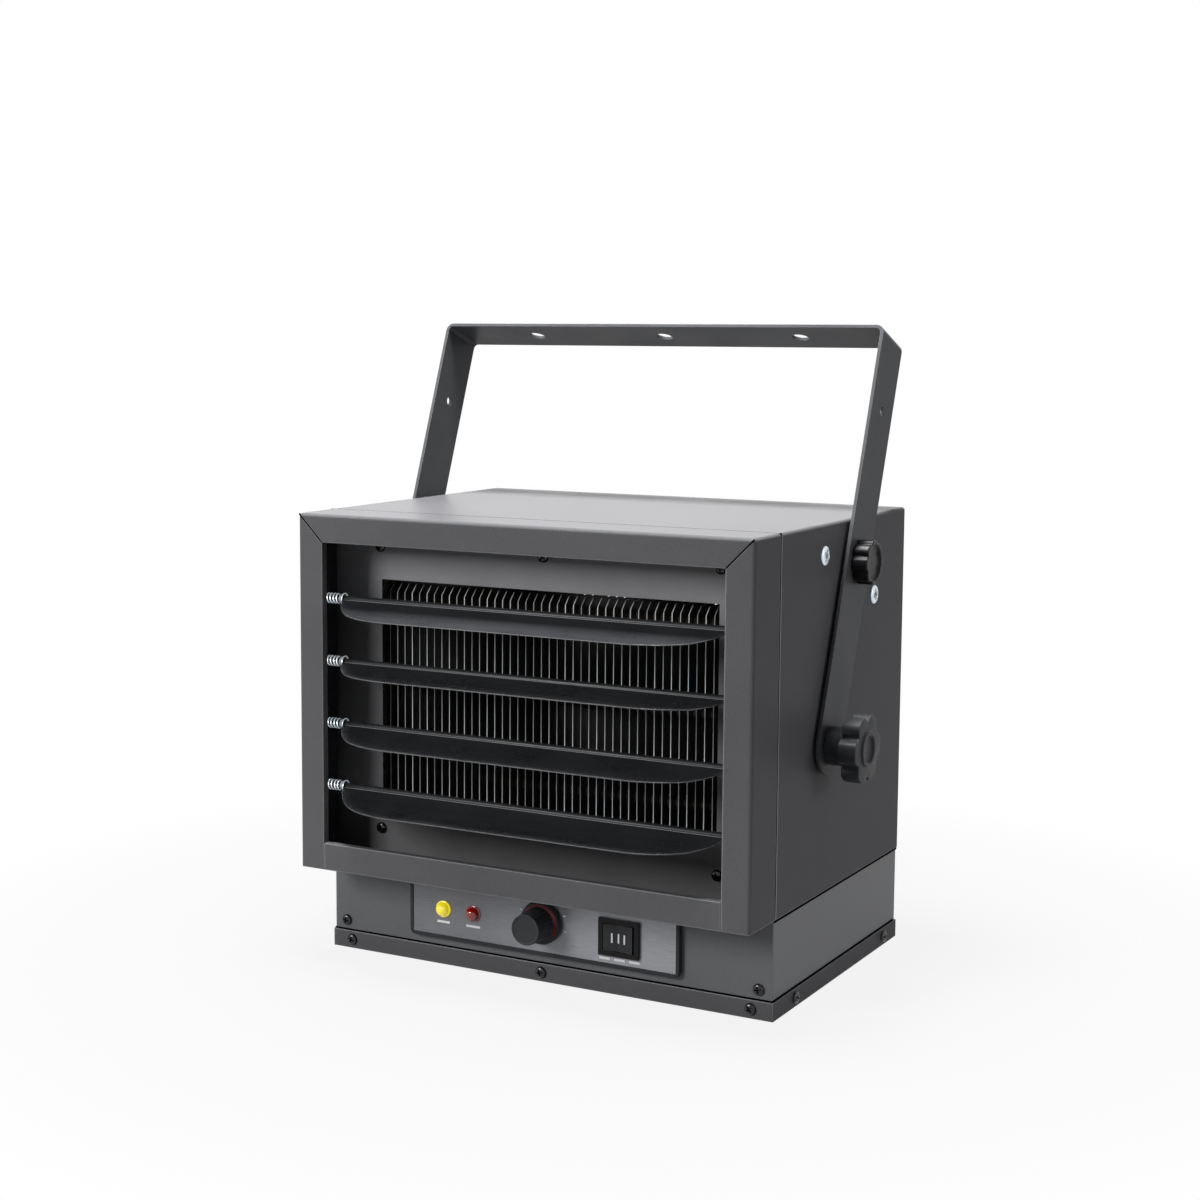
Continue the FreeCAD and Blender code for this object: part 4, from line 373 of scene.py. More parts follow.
# The rocker, the dial and the pivot knobs are the same plastic, greyer: partly greyed by hands, partly a painted
# sheen for the light on their faces.
greyed_plastic_painted_sheen = coated("grey_rocker_plastic_painted_sheen", "#2C2D2F", "#38393B", roughness=0.45, grain_mm=0.5,
                        bump=0.12, edge_mm=0.5, wear_and_highlight=0.2)
# Black strips in the seams: dead matt, a painted shadow that swallows the light as an open gap would.
seam_shade = coated("seam_shadow_black", "#030303", "#070707", roughness=0.9, grain_mm=0.6, bump=0.2,
                edge_mm=0.1, gloss=0.0)
print(len(bpy.data.materials), "materials so far")

# %% [markdown]
# ### Fins
# The fins' sheared front edges are bright, and their faces are dark with painted shade for the shaded gaps
# between them. No two fins look the same, because hot air stains them unevenly. The face or edge is told by the
# object-space normal, and a random number that belongs to the fin's place along the width sets its shade.

# %% Fin sheet
FIN_PITCH_MM, STAIN_MM = 6.56, 25
# How far the normal points along the width: on a fin's face, and on its edge.
FACE_TO_EDGE, EDGE_SHARES = (0.9, 0.3), (0.2, 1.0)

# Rolled aluminium: bright where it is cut, with brown or blue heat stains there, and dark on its faces with
# painted shade.
fin_sheet_painted_shade, tree, shader = new_finish("rolled_fin_sheet_painted_shade")
where = add_node(tree, "ShaderNodeTexCoord").outputs
along = add_node(tree, "ShaderNodeSeparateXYZ", {0: where["Object"]}).outputs["X"]
pitches = add_node(tree, "ShaderNodeMath", {0: along, 1: FIN_PITCH_MM * MM}, operation="DIVIDE")
number = add_node(tree, "ShaderNodeMath", {0: pitches.outputs[0]}, operation="ROUND")
chance = add_node(tree, "ShaderNodeTexWhiteNoise", {"W": number.outputs[0]}, noise_dimensions="1D")
way = add_node(tree, "ShaderNodeSeparateXYZ", {0: where["Normal"]}).outputs["X"]
sideways = add_node(tree, "ShaderNodeMath", {0: way}, operation="ABSOLUTE")
edge = add_node(tree, "ShaderNodeMapRange", {
    "Value": sideways.outputs[0], "From Min": FACE_TO_EDGE[0], "From Max": FACE_TO_EDGE[1]})
stain = add_node(tree, "ShaderNodeTexNoise", {
    "Vector": where["Object"], "Scale": per_mm(STAIN_MM), "Detail": 3.0})
tint = add_node(tree, "ShaderNodeMix", {
    "Factor": stain.outputs["Fac"], 6: linear("#E4DCCB"), 7: linear("#D6E6F2")}, data_type="RGBA")
bright = add_node(tree, "ShaderNodeMapRange", {
    "Value": chance.outputs["Value"], "To Min": EDGE_SHARES[0], "To Max": EDGE_SHARES[1]})
cut_edge = add_node(tree, "ShaderNodeMix", {
    "Factor": bright.outputs[0], 6: linear("#6E6E6C"), 7: tint.outputs[2]}, data_type="RGBA")
# Painted shade: the faces are dark, as the gaps between the fins are shaded.
shade = add_node(tree, "ShaderNodeMix", {
    "Factor": edge.outputs[0], 6: linear("#2A2A2B"), 7: cut_edge.outputs[2]}, data_type="RGBA")
tree.links.new(shade.outputs[2], shader.inputs["Base Color"])
shader.inputs["Metallic"].default_value = 0.1
shader.inputs["Roughness"].default_value = 0.38
print("fins: bright cut edges, dull faces")

# %% [markdown]
# ### Lenses and inks
# The lamp lenses are tinted acrylic: a clear gloss over colour. The yellow one is lit, so it also gives a
# little light of its own. The red one is not lit, and its faint glow is painted light. The printing on the plate
# is a thin opaque ink.

# %% Lenses and inks
SWIRL_MM, ACRYLIC_IOR = 3.0, 1.49


def lens_finish(name, deep, bright, glow):
    """Tinted acrylic: colour deepens in slow swirls under a clear coat; each lens also glows by a share, real
    light on a lit lens and painted light on an unlit one.
    """
    material, tree, shader = new_finish(name)
    place = add_node(tree, "ShaderNodeTexCoord").outputs["Object"]
    swirl = add_node(tree, "ShaderNodeTexNoise", {"Vector": place, "Scale": per_mm(SWIRL_MM), "Detail": 2.0})
    shade = add_node(tree, "ShaderNodeMix", {
        "Factor": swirl.outputs["Fac"], 6: linear(deep), 7: linear(bright)}, data_type="RGBA")
    tree.links.new(shade.outputs[2], shader.inputs["Base Color"])
    tree.links.new(shade.outputs[2], shader.inputs["Emission Color"])
    shader.inputs["Emission Strength"].default_value = glow
    shader.inputs["Roughness"].default_value = 0.08
    shader.inputs["IOR"].default_value = ACRYLIC_IOR
    shader.inputs["Coat Weight"].default_value = 0.6
    return material


yellow_lens = lens_finish("yellow_acrylic_lens", "#D9BC08", "#FFF03A", glow=0.45)
# The red lens is unlit, so its faint glow is painted light.
red_lens = lens_finish("red_acrylic_lens_painted_glow", "#5E0206", "#A80C10", glow=0.03)
white_ink = coated("white_screen_ink", "#D4D5D6", "#EFEFEF", roughness=0.6, grain_mm=0.4, bump=0.05,
                   edge_mm=0.05)
red_ink = coated("red_screen_ink", "#8E1420", "#B3202C", roughness=0.55, grain_mm=0.4, bump=0.05,
                 edge_mm=0.05)
print(len(bpy.data.materials), "materials in all")

# %% [markdown]
# ### Which node wears what
# The record names a material slot for every CAD node. A table gives each slot its finish, and a second one
# lists the few nodes that wear another finish than their slot's.

# %% Dress the CAD nodes
finishes = {
    "casing_paint": powder, "baffle_paint": inner_coat_painted_light_and_shade, "bracket_paint": strap_coat, "louver_paint": enamel,
    "zinc_steel": zinc, "fin_metal": fin_sheet_painted_shade, "tube_metal": tube_steel, "ceramic": ceramic,
    "black_plastic": plastic, "panel_grey": plate_metal_painted_reflection, "yellow_lens": yellow_lens, "red_lens": red_lens,
    "black_screw": oxide, "guard_wire": wire_enamel, "motor_paint": motor_paint,
}
louver_numbers = range(1, 5)
other_finishes = {
    rim_coat: ["control_bezel"],
    box_coat_painted_sheen: ["control_box", "box_rear_cover"],
    greyed_plastic_painted_sheen: ["switch_rocker"],
    tube_steel: ["end_plate_left", "end_plate_right", *(f"louver_rod_{number}" for number in louver_numbers)],
    galvanised: ["motor_mount", "fan_bulkhead"],
}
for entry in record["subparts"]:
    mesh = nodes[entry["node"]].data
    mesh.materials.clear()
    mesh.materials.append(finishes[entry["material_slot"]])
for finish, names in other_finishes.items():
    for name in names:
        nodes[name].data.materials[0] = finish
print("every CAD node has its finish")

# %% [markdown]
# ## Shapes from grids
# A new piece is one or more grids of points. Rows and columns become quads, a grid may close on itself in
# either direction, and the pieces of one object are joined and welded before they are shaded smooth.

# %% Grids and pieces
WELD_MM = 0.002
# Local axes of a piece whose own Z points out of a side of the heater.
AXES = {"+x": ((0, 1, 0), (0, 0, 1), (1, 0, 0)), "-x": ((0, -1, 0), (0, 0, 1), (-1, 0, 0)),
        "-y": ((1, 0, 0), (0, 0, 1), (0, -1, 0)), "+y": ((-1, 0, 0), (0, 0, 1), (0, 1, 0))}


def grid(points, wrap_rows=False, wrap_columns=False):
    """Quads over an array of rows x columns x 3 points, closed where asked."""
    rows, columns = points.shape[:2]
    index = np.arange(rows * columns).reshape(rows, columns)
    index = np.vstack([index, index[:1]]) if wrap_rows else index
    index = np.hstack([index, index[:, :1]]) if wrap_columns else index
    quads = np.stack([index[:-1, :-1], index[:-1, 1:], index[1:, 1:], index[1:, :-1]], -1)
    return points.reshape(-1, 3), quads.reshape(-1, 4)


def moved(surface, origin, x_way=(1, 0, 0), y_way=(0, 1, 0), z_way=(0, 0, 1)):
    """The same quads with local axes turned to three given ways, and the local origin at a place."""
    points, quads = surface
    return points @ np.array([x_way, y_way, z_way], float) + np.array(origin, float), quads


def piece(name, surfaces, finish, body, stands_for=(), crease=35):
    """Join grids, in millimetres, into one closed object that rides on a CAD body and may stand for CAD
    nodes. Open ends, such as a wire's, are filled with a flat face."""
    starts = np.cumsum([0] + [len(points) for points, _ in surfaces[:-1]])
    points = np.vstack([surface[0] for surface in surfaces]) * MM
    quads = np.vstack([surface[1] + start for surface, start in zip(surfaces, starts)])
    mesh = bpy.data.meshes.new(name)
    mesh.from_pydata(points.tolist(), [], quads.tolist())
    shell = bmesh.new()
    shell.from_mesh(mesh)
    bmesh.ops.remove_doubles(shell, verts=shell.verts, dist=WELD_MM * MM)
    bmesh.ops.holes_fill(shell, edges=[edge for edge in shell.edges if edge.is_boundary], sides=0)
    bmesh.ops.recalc_face_normals(shell, faces=shell.faces)
    shell.to_mesh(mesh)
    shell.free()
    mesh.shade_smooth()
    mesh.set_sharp_from_angle(angle=math.radians(crease))
    mesh.materials.append(finish)
    made = bpy.data.objects.new(name, mesh)
    bpy.context.scene.collection.objects.link(made)
    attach(made, body)
    if stands_for:
        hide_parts(*stands_for)
    print(f"{name}: {len(mesh.polygons)} faces")
    return made


# %% [markdown]
# ### Profiles and wires
# Round things are profiles turned round an axis, and wires are circles carried along a path. Blender's Spin
# tool and bevelled curves could make both, but a formula gives every point at once and the same each time.

# %% Profiles, turned shapes and wires
def soften(corners, radius, steps=5):
    """A profile whose inner corners become parabolas: A(1-t)^2 + 2Pt(1-t) + Bt^2. A and B lie a radius away
    from the corner P, or 0.45 of a side where that is less."""
    p = np.array(corners, float)
    to_before, to_after = p[:-2] - p[1:-1], p[2:] - p[1:-1]
    length_before = np.linalg.norm(to_before, axis=1, keepdims=True)
    length_after = np.linalg.norm(to_after, axis=1, keepdims=True)
    a = p[1:-1] + to_before / length_before * np.minimum(radius, length_before * 0.45)
    b = p[1:-1] + to_after / length_after * np.minimum(radius, length_after * 0.45)
    t = np.linspace(0, 1, steps)[None, :, None]
    curve = a[:, None] * (1 - t) ** 2 + 2 * p[1:-1, None] * t * (1 - t) + b[:, None] * t ** 2
    return np.vstack([p[:1], curve.reshape(-1, 2), p[-1:]])


def lathe(profile, segments=72, squeeze=None, bored=False):
    """A profile of (radius, height) turned round Z; squeeze(angle, height, radius) multiplies the radius.
    If bored, the profile's end is joined to its start, which leaves a hole along the axis."""
    angle = np.linspace(0, 2 * np.pi, segments, endpoint=False)[None, :]
    radius, height = profile[:, :1], profile[:, 1:]
    radius = radius * (squeeze(angle, height, radius) if squeeze else np.ones_like(angle))
    return grid(np.stack([radius * np.cos(angle), radius * np.sin(angle),
                          height + np.zeros_like(radius)], -1), wrap_rows=bored, wrap_columns=True)


def tube(path, outward, radius, sides=10, closed=False):
    """A round wire: circles across a path, spanned by an outward way and the way beside it."""
    along = np.gradient(path, axis=0)
    if closed:
        along = np.roll(path, -1, 0) - np.roll(path, 1, 0)
    along = along / np.linalg.norm(along, axis=1, keepdims=True)
    outward = outward - (outward * along).sum(1, keepdims=True) * along
    outward = outward / np.linalg.norm(outward, axis=1, keepdims=True)
    beside = np.cross(along, outward)
    turn = np.linspace(0, 2 * np.pi, sides, endpoint=False)[None, :, None]
    rings = path[:, None] + radius * (np.cos(turn) * outward[:, None] + np.sin(turn) * beside[:, None])
    return grid(rings, wrap_rows=closed, wrap_columns=True)


def box_mm(node):
    """Lowest and highest corner of a CAD node, in millimetres."""
    low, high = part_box(node)
    return np.array(low) / MM, np.array(high) / MM


def middle_mm(node):
    """Middle of a CAD node's box, in millimetres."""
    low, high = box_mm(node)
    return (low + high) / 2


def joint_mm(name):
    """Place of a joint, in millimetres."""
    return np.array(joints[name]["pos_m"]) / MM


# %% [markdown]
# ## Louvers
# A louver is one strip of steel. Its back edge is rolled round the pivot rod into a bead, two soft creases
# stiffen it, and its front corners are swept back. The blade is a grid: one parameter runs along the length,
# the other goes out along the top skin, round the front edge and back along the bottom skin. A plated cup
# closes the bead's left end, where the spring presses on it. A bevelled box would lose bead and creases.

# %% Louver blade
LOUVER_HALF, LOUVER_CHORD, LOUVER_CORNER = 159.0, 41.5, 62.0
BLADE_THICK, BLADE_DIP, BEAD_RADIUS, ROD_RADIUS = 0.9, 2.2, 2.5, 1.5
CREASE_SHARES, CREASE_BLUR, BLUR_STEPS = (0.31, 0.64), 1.0, 7
BLADE_ROWS, SKIN_COLUMNS, NOSE_STEPS = 129, 34, 7
# Rows crowd towards the ends by this power, and the nose is a hair flatter than a half circle.
ROW_POWER, NOSE_SHARE = 1.5, 0.99


def blade_reach(x):
    """How far forward the blade goes: full chord in the middle, a circle's sagitta less in the corners."""
    radius = (LOUVER_CORNER ** 2 + LOUVER_CHORD ** 2) / (2 * LOUVER_CHORD)
    past = np.clip(np.abs(x) - (LOUVER_HALF - LOUVER_CORNER), 0, LOUVER_CORNER)
    return LOUVER_CHORD - (radius - np.sqrt(np.maximum(radius ** 2 - past ** 2, 0)))


def blade_level(y):
    """Height of the blade's middle: straight runs between the bead, two creases and the front, blurred."""
    stations = -LOUVER_CHORD * np.array([0, *CREASE_SHARES, 1])[::-1]
    levels = np.array([0, -BLADE_DIP, -BLADE_DIP, 0])
    shifts = np.linspace(-CREASE_BLUR, CREASE_BLUR, BLUR_STEPS)
    return np.mean([np.interp(y + shift, stations, levels) for shift in shifts], axis=0)


def louver_blade():
    """Grid over length x loop: top skin outwards, half circle round the front edge, bottom skin back."""
    turn = np.linspace(-1, 1, BLADE_ROWS)
    x = (LOUVER_HALF * np.sign(turn) * (1 - (1 - np.abs(turn)) ** ROW_POWER))[:, None]
    out = np.linspace(0, 1, SKIN_COLUMNS)
    skin, edge = np.ones(SKIN_COLUMNS), np.linspace(np.pi / 2, -np.pi / 2, NOSE_STEPS)[1:-1]
    share = np.concatenate([out, np.ones(len(edge)), out[::-1]])[None, :]
    side = np.concatenate([skin, np.sin(edge), -skin])[None, :]
    nose = np.concatenate([0 * skin, np.cos(edge), 0 * skin])[None, :]
    y = -blade_reach(x) * share
    half = BLADE_THICK / 2
    points = np.stack([x + np.zeros_like(y), y - nose * half * NOSE_SHARE, blade_level(y) + side * half], -1)
    return grid(points, wrap_columns=True)


# %% Louver bead and spring cup
# How far the bead and the cup reach past the blade's left end, and the lowest angle of every blade.
BEAD_PAST, CUP_PAST, LOWEST_DEG = 1.0, 1.2, 60
# The spring cup's outline, as (radius, distance from its left end).
CUP_OUTLINE = [(ROD_RADIUS, 0), (3.6, 0), (3.9, 1.6), (4.7, 3.4), (4.3, 3.7), (BEAD_RADIUS, 2.4)]


def turned(profile):
    """A profile of (radius, place along X) turned round the rod."""
    rounded = soften(profile, radius=0.35, steps=4)
    return moved(lathe(rounded, segments=40, bored=True), (0, 0, 0), *AXES["+x"])


def louver_bead(right_end):
    """Bead rolled round the rod, from the spring's cup to the right rail."""
    left = -LOUVER_HALF - BEAD_PAST
    return turned([(ROD_RADIUS, left), (BEAD_RADIUS, left),
                   (BEAD_RADIUS, right_end), (ROD_RADIUS, right_end)])


def spring_cup():
    """Plated cup that flares away from the spring and closes on the bead."""
    return turned([(radius, -LOUVER_HALF - CUP_PAST + along) for radius, along in CUP_OUTLINE])


for number in louver_numbers:
    louver = f"louver_{number}"
    droop = math.radians(LOWEST_DEG - joints[f"{louver}_tilt"]["range_deg"][1])
    place, right_end = joint_mm(f"{louver}_tilt"), box_mm(louver)[1][0]
    tilt = ((1, 0, 0), (0, math.cos(droop), math.sin(droop)), (0, -math.sin(droop), math.cos(droop)))
    parts = [moved(part, place, *tilt) for part in (louver_blade(), louver_bead(right_end))]
    piece(f"louver_leaf_{number}", parts, enamel, louver, [louver], crease=50)
    piece(f"louver_spring_cup_{number}", [moved(spring_cup(), place)], zinc, louver)

# %% [markdown]
# ## Springs
# A small coil spring sits on each rod, between the left rail and the louver's collar, and holds the louver
# by friction. A coil is a circle that moves along its axis: x grows evenly with the angle, and a little more
# slowly near both ends. A Screw modifier could turn it too, but the formula also closes its ends.

# %% Louver springs
SPRING_RADIUS, SPRING_WIRE, SPRING_TURNS, STEPS_PER_TURN = 3.4, 0.65, 4, 60
END_CLOSING = 0.06


def coil(start, end):
    """Helix along X: the angle runs through the turns, closer together at the ground ends."""
    turn = np.linspace(0, 1, STEPS_PER_TURN * SPRING_TURNS)
    angle = 2 * np.pi * SPRING_TURNS * turn
    run = turn - END_CLOSING * np.sin(2 * np.pi * turn) / np.pi
    x = start + SPRING_WIRE + (end - start - 2 * SPRING_WIRE) * run
    outward = np.stack([np.zeros_like(angle), np.cos(angle), np.sin(angle)], -1)
    return tube(outward * SPRING_RADIUS + x[:, None] * [1, 0, 0], outward, SPRING_WIRE)


spring_low, spring_high = box_mm("louver_springs")
one_spring = coil(spring_low[0], spring_high[0])
springs = [moved(one_spring, (0, *joint_mm(f"louver_{number}_tilt")[1:])) for number in louver_numbers]
piece("louver_coil_springs", springs, zinc, "cabinet", ["louver_springs"], crease=60)

# %% [markdown]
# ## Screws
# Pan heads with a cross recess. A head is a polar grid: the height falls off towards the rim, and inside a
# cross-shaped mask it sinks. A Boolean could cut the cross, but a grid keeps its faces tidy. Each head is
# turned a different way, as a screwdriver leaves it.

# %% Screw heads
# Shares of a head's height: its upright rim and the recess.
RIM_SHARE, CROSS_DEPTH = 0.35, 0.85
# Shares of its radius: the cross's reach, and the slopes of its flanks and tips.
CROSS_REACH, CROSS_FLANK, CROSS_TIP = 0.6, 0.05, 0.08
HEAD_SEGMENTS, FIRST_SPIN, NEXT_SPIN = 72, 0.3, 1.1


def screw_head(radius, height, spin, shank_radius, shank_length, cross):
    """A dome on an upright rim: the height falls from the middle as the root of one minus the radius
    squared. It sinks where the way to the nearer arm of a cross is under a share of the radius."""
    # Rings lie closer together over the recess than near the rim.
    reach = np.concatenate([np.linspace(0, 0.62, 26), np.linspace(0.66, 1, 8)])[:, None]
    angle = np.linspace(0, 2 * np.pi, HEAD_SEGMENTS, endpoint=False)[None, :]
    x, y = np.abs(reach * np.cos(angle + spin)), np.abs(reach * np.sin(angle + spin))
    flank = np.clip((cross - np.minimum(x, y)) / CROSS_FLANK, 0, 1)
    recess = flank * np.clip((CROSS_REACH - np.maximum(x, y)) / CROSS_TIP, 0, 1)
    dome = RIM_SHARE + (1 - RIM_SHARE) * np.sqrt(np.maximum(1 - reach ** 2, 0))
    level = height * (dome - recess * CROSS_DEPTH)
    top = np.stack([radius * reach * np.cos(angle), radius * reach * np.sin(angle), level], -1)
    skirt = np.array([(radius, height * RIM_SHARE), (radius, 0), (shank_radius, 0),
                      (shank_radius, -shank_length), (0, -shank_length)])
    return [grid(top, wrap_columns=True), lathe(skirt, HEAD_SEGMENTS)]


def screws(name, node, seats, finish, slot, radius, height, shank_radius, shank_length, cross):
    """One object with a screw at every seat (x, y, z, way)."""
    parts = []
    for number, (x, y, z, way) in enumerate(seats):
        spin = FIRST_SPIN + NEXT_SPIN * number
        for part in screw_head(radius, height, spin, shank_radius, shank_length, cross):
            parts.append(moved(part, (x, y, z), *AXES[way]))
    return piece(name, parts, finish, "cabinet", [node], crease=40)


# %% Black pan screws
PAN = {"radius": 4.2, "height": 2.8, "shank_radius": 1.9, "shank_length": 6.0, "cross": 0.13}
FRONT, SIDE, BACK, TRAY_SHEET = -121.0, 184.0, 121.0, 1.2
SIDES = ((1, "+x"), (-1, "-x"))
BAFFLE_X, BAFFLE_LOW, BAFFLE_TOP = 140, 98.0, 313.5
BOX_X, BOX_Z = 172.6, 21.4
TRAY_X, TRAY_Y, TRAY_Z = 167, (-83, 93), 7.0
REAR_Z = (108.4, 206.0, 306.0)

baffle_seats = [(x, FRONT, BAFFLE_LOW, "-y") for x in (-BAFFLE_X, BAFFLE_X)]
baffle_seats += [(x, FRONT, BAFFLE_TOP, "-y") for x in (-BAFFLE_X, 0, BAFFLE_X)]
screws("baffle_pan_screws", "baffle_screws", baffle_seats, oxide, "black_screw", **PAN)
box_seats = [(x, FRONT, BOX_Z, "-y") for x in (-BOX_X, BOX_X)]
screws("box_pan_screws", "box_screws", box_seats, oxide, "black_screw", **PAN)
tray_seats = [(x, FRONT - TRAY_SHEET, TRAY_Z, "-y") for x in (-TRAY_X, 0, TRAY_X)]
tray_seats += [(side * SIDE, y, TRAY_Z, way) for side, way in SIDES for y in TRAY_Y]
screws("tray_pan_screws", "tray_screws", tray_seats, oxide, "black_screw", **PAN)
rear_x = box_mm("rear_screws")[1][0] - PAN["radius"]
rear_seats = [(x, BACK, z, "+y") for x in (-rear_x, rear_x) for z in REAR_Z]
screws("rear_pan_screws", "rear_screws", rear_seats, oxide, "black_screw", **PAN)

# %% [markdown]
# ### Index screws
# Two larger zinc screws on each side plug the tilt positions that aren't in use. They lie on a circle round
# the bracket's pivot, so an angle and a radius place them better than two measured lengths.

# %% Zinc index screws
INDEX = {"radius": 7.0, "height": 2.2, "shank_radius": 3.0, "shank_length": 11.0, "cross": 0.25}
INDEX_RADIUS, INDEX_ANGLES = 136.5, np.radians([-2.0, 44.0])

pivot = joint_mm("bracket_tilt")
index_seats = [(side * SIDE, pivot[1] + INDEX_RADIUS * math.sin(angle),
                pivot[2] + INDEX_RADIUS * math.cos(angle), way)
               for side, way in SIDES for angle in INDEX_ANGLES]
screws("zinc_index_screws", "index_screws", index_seats, zinc, "zinc_steel", **INDEX)

# %% [markdown]
# ## Bracket knobs
# The large pivot knobs and the small lock knobs are moulded. Both are turned profiles whose radius dips
# between lobes: the dip is the third power of a raised cosine, which gives broad lobes and round cuts.
# Cutting cylinders out of a disc would work too, but this leaves one smooth skin.

# %% Pivot knobs and lock knobs
PIVOT_BORE, PIVOT_HUB, PIVOT_HEAD, PIVOT_THICK, PIVOT_RISE = 4.0, 14.0, 24.9, 15.0, 1.5
LOCK_BORE, LOCK_RADIUS, LOCK_THICK, LOCK_DISH = 3.0, 16.3, 12.0, 1.8
# The ring on a pivot knob's face: its radii from outside to inside, and how far the face sinks within it.
PIVOT_RING, PIVOT_SUNK = (13.5, 13.0, 10.0, 9.0), 0.6
# Radii of the step down into the dish of a lock knob's face.
LOCK_RIM = (13.2, 12.5)
# Share of its depth that a cut keeps at both edges of the lobes.
LEAST_CUT = 0.85


def lobes(count, depth, low, high, soft, beyond):
    """Radius factor 1 - depth * cut(angle), only between two heights, fading in over a soft length, and only
    beyond a radius, so that the hub and the ring on the face stay round."""
    def squeeze(angle, height, radius):
        cut = (0.5 - 0.5 * np.cos(count * angle)) ** 3
        inside = np.clip((height - low) / soft, 0, 1) * np.clip((high - height) / soft, 0, 1)
        lobed = (low <= height) & (height <= high) & (radius > beyond)
        return 1 - depth * cut * np.where(lobed, np.maximum(inside, LEAST_CUT), 0)
    return squeeze


def knob_seat(node, side):
    """X of the knob's inner face, on the right or the left of the heater."""
    low, high = box_mm(node)
    return low[0] if side == "right" else high[0]


for side, way in (("right", "+x"), ("left", "-x")):
    node = f"pivot_knob_{side}"
    low, high = box_mm(node)
    ring = high[0] - low[0]
    hub, head = ring - PIVOT_THICK, ring - PIVOT_RISE
    sunk = head - PIVOT_SUNK
    profile = soften([(PIVOT_BORE, 0), (PIVOT_HUB, 0), (PIVOT_HUB, hub), (PIVOT_HEAD, hub),
                      (PIVOT_HEAD, head), *zip(PIVOT_RING, (head, ring, ring, sunk)), (0, sunk)], radius=0.9)
    cuts = lobes(count=6, depth=0.24, low=hub - 0.5, high=head + 0.1, soft=1.2, beyond=15.0)
    shape = lathe(profile, segments=180, squeeze=cuts)
    knob = moved(shape, (knob_seat(node, side), pivot[1], pivot[2]), *AXES[way])
    piece(f"pivot_knob_moulding_{side}", [knob], greyed_plastic_painted_sheen, node, [node], crease=40)

    node = f"lock_knob_{side}"
    sunk = LOCK_THICK - LOCK_DISH
    profile = soften([(LOCK_BORE, 0), (LOCK_RADIUS, 0), (LOCK_RADIUS, LOCK_THICK),
                      *zip(LOCK_RIM, (LOCK_THICK, sunk)), (0, sunk)], radius=1.1)
    cuts = lobes(count=8, depth=0.13, low=-1, high=LOCK_THICK + 1, soft=0.5, beyond=14.0)
    shape = lathe(profile, segments=192, squeeze=cuts)
    knob = moved(shape, (knob_seat(node, side), *middle_mm(node)[1:]), *AXES[way])
    piece(f"lock_knob_moulding_{side}", [knob], plastic, node, [node], crease=40)

# %% [markdown]
# ## Control strip
# Two lamps, the thermostat knob and the rocker sit on a brushed plate. The lamps are domes on a collar, each
# turned in one piece with its stem behind the plate. A sphere cut in half would need a collar of its own.

# %% Lamps
LENS_PROUD, LENS_RADIUS, DOME_FOOT, DOME_RISE = 6.0, 5.3, 1.2, 4.75
# From the lamp's stem behind the plate to the collar in front of it, as (radius, height).
LENS_COLLAR = [(0, -18), (4.4, -18), (4.4, 0), (6.3, 0), (6.3, 0.7), (5.9, 1.0), (LENS_RADIUS, 1.0)]

dome = np.linspace(0, np.pi / 2, 14)
dome_profile = np.stack([LENS_RADIUS * np.cos(dome), DOME_FOOT + DOME_RISE * np.sin(dome)], -1)
lens_shape = lathe(np.vstack([LENS_COLLAR, dome_profile]), segments=48)
for node, finish, slot in (("power_lamp", yellow_lens, "yellow_lens"),
                           ("warning_lamp", red_lens, "red_lens")):
    middle = middle_mm(node)
    seat = (middle[0], box_mm(node)[0][1] + LENS_PROUD, middle[2])
    piece(f"{node}_lens", [moved(lens_shape, seat, *AXES["-y"])], finish, "cabinet", [node], crease=50)

# %% [markdown]
# ### Thermostat knob
# The knob is a fluted grip on a skirt. The flutes could be bump in the material, but fingers would feel them,
# so they are in the shape: the radius ripples with the angle.

# %% Thermostat knob
low, high = box_mm("thermostat_knob")
dial = np.array([(low[0] + high[0]) / 2, high[1], (low[2] + high[2]) / 2])
SKIRT, GRIP_TOP = 4.0, high[1] - low[1]
FLUTE_COUNT, FLUTE_DEPTH, FLUTE_FROM, FLUTE_TO = 24, 0.03, SKIRT + 0.4, GRIP_TOP - 1.0


def flutes(angle, height, radius):
    """Grip radius rippled by a cosine just above the skirt; the ripple dies away towards the face."""
    inside = (height > FLUTE_FROM) & (height < FLUTE_TO)
    return 1 - FLUTE_DEPTH * (0.5 + 0.5 * np.cos(FLUTE_COUNT * angle)) * inside


# From the bore over the skirt and up the grip to its face, as (radius, height).
profile = soften([(3, 0), (15.6, 0), (16.4, 1.2), (15.4, SKIRT), (12.4, SKIRT), (11.4, GRIP_TOP),
                  (10.2, GRIP_TOP), (9.8, GRIP_TOP - 0.5), (0, GRIP_TOP - 0.5)], radius=0.9)
knob = moved(lathe(profile, segments=240, squeeze=flutes), dial, *AXES["-y"])
piece("thermostat_grip", [knob], greyed_plastic_painted_sheen, "thermostat_knob", ["thermostat_knob"],
      crease=40)

# %% [markdown]
# ### Print
# The print is a set of thin patches of ink: bars under the lamps and the switch, ticks round the dial, a red
# crescent on its skirt and three marks on the rocker. A texture could paint it, but a patch has a sharp edge.

# %% Ink patches
INK_THICK, INK_RISE, CRESCENT_STEPS = 0.1, 0.06, 48


def patch(x, z, width, height, y, turn=0.0):
    """A thin rectangle facing the front, turned in its own plane. Its rim is as high as the ink is thick."""
    corner = np.array([[-width, 0, -height], [width, 0, -height],
                       [width, 0, height], [-width, 0, height]]) / 2
    c, s = math.cos(turn), math.sin(turn)
    front = corner @ np.array([[c, 0, s], [0, 1, 0], [-s, 0, c]]) + [x, y, z]
    return grid(np.stack([front, front + [0, INK_THICK, 0]]), wrap_columns=True)


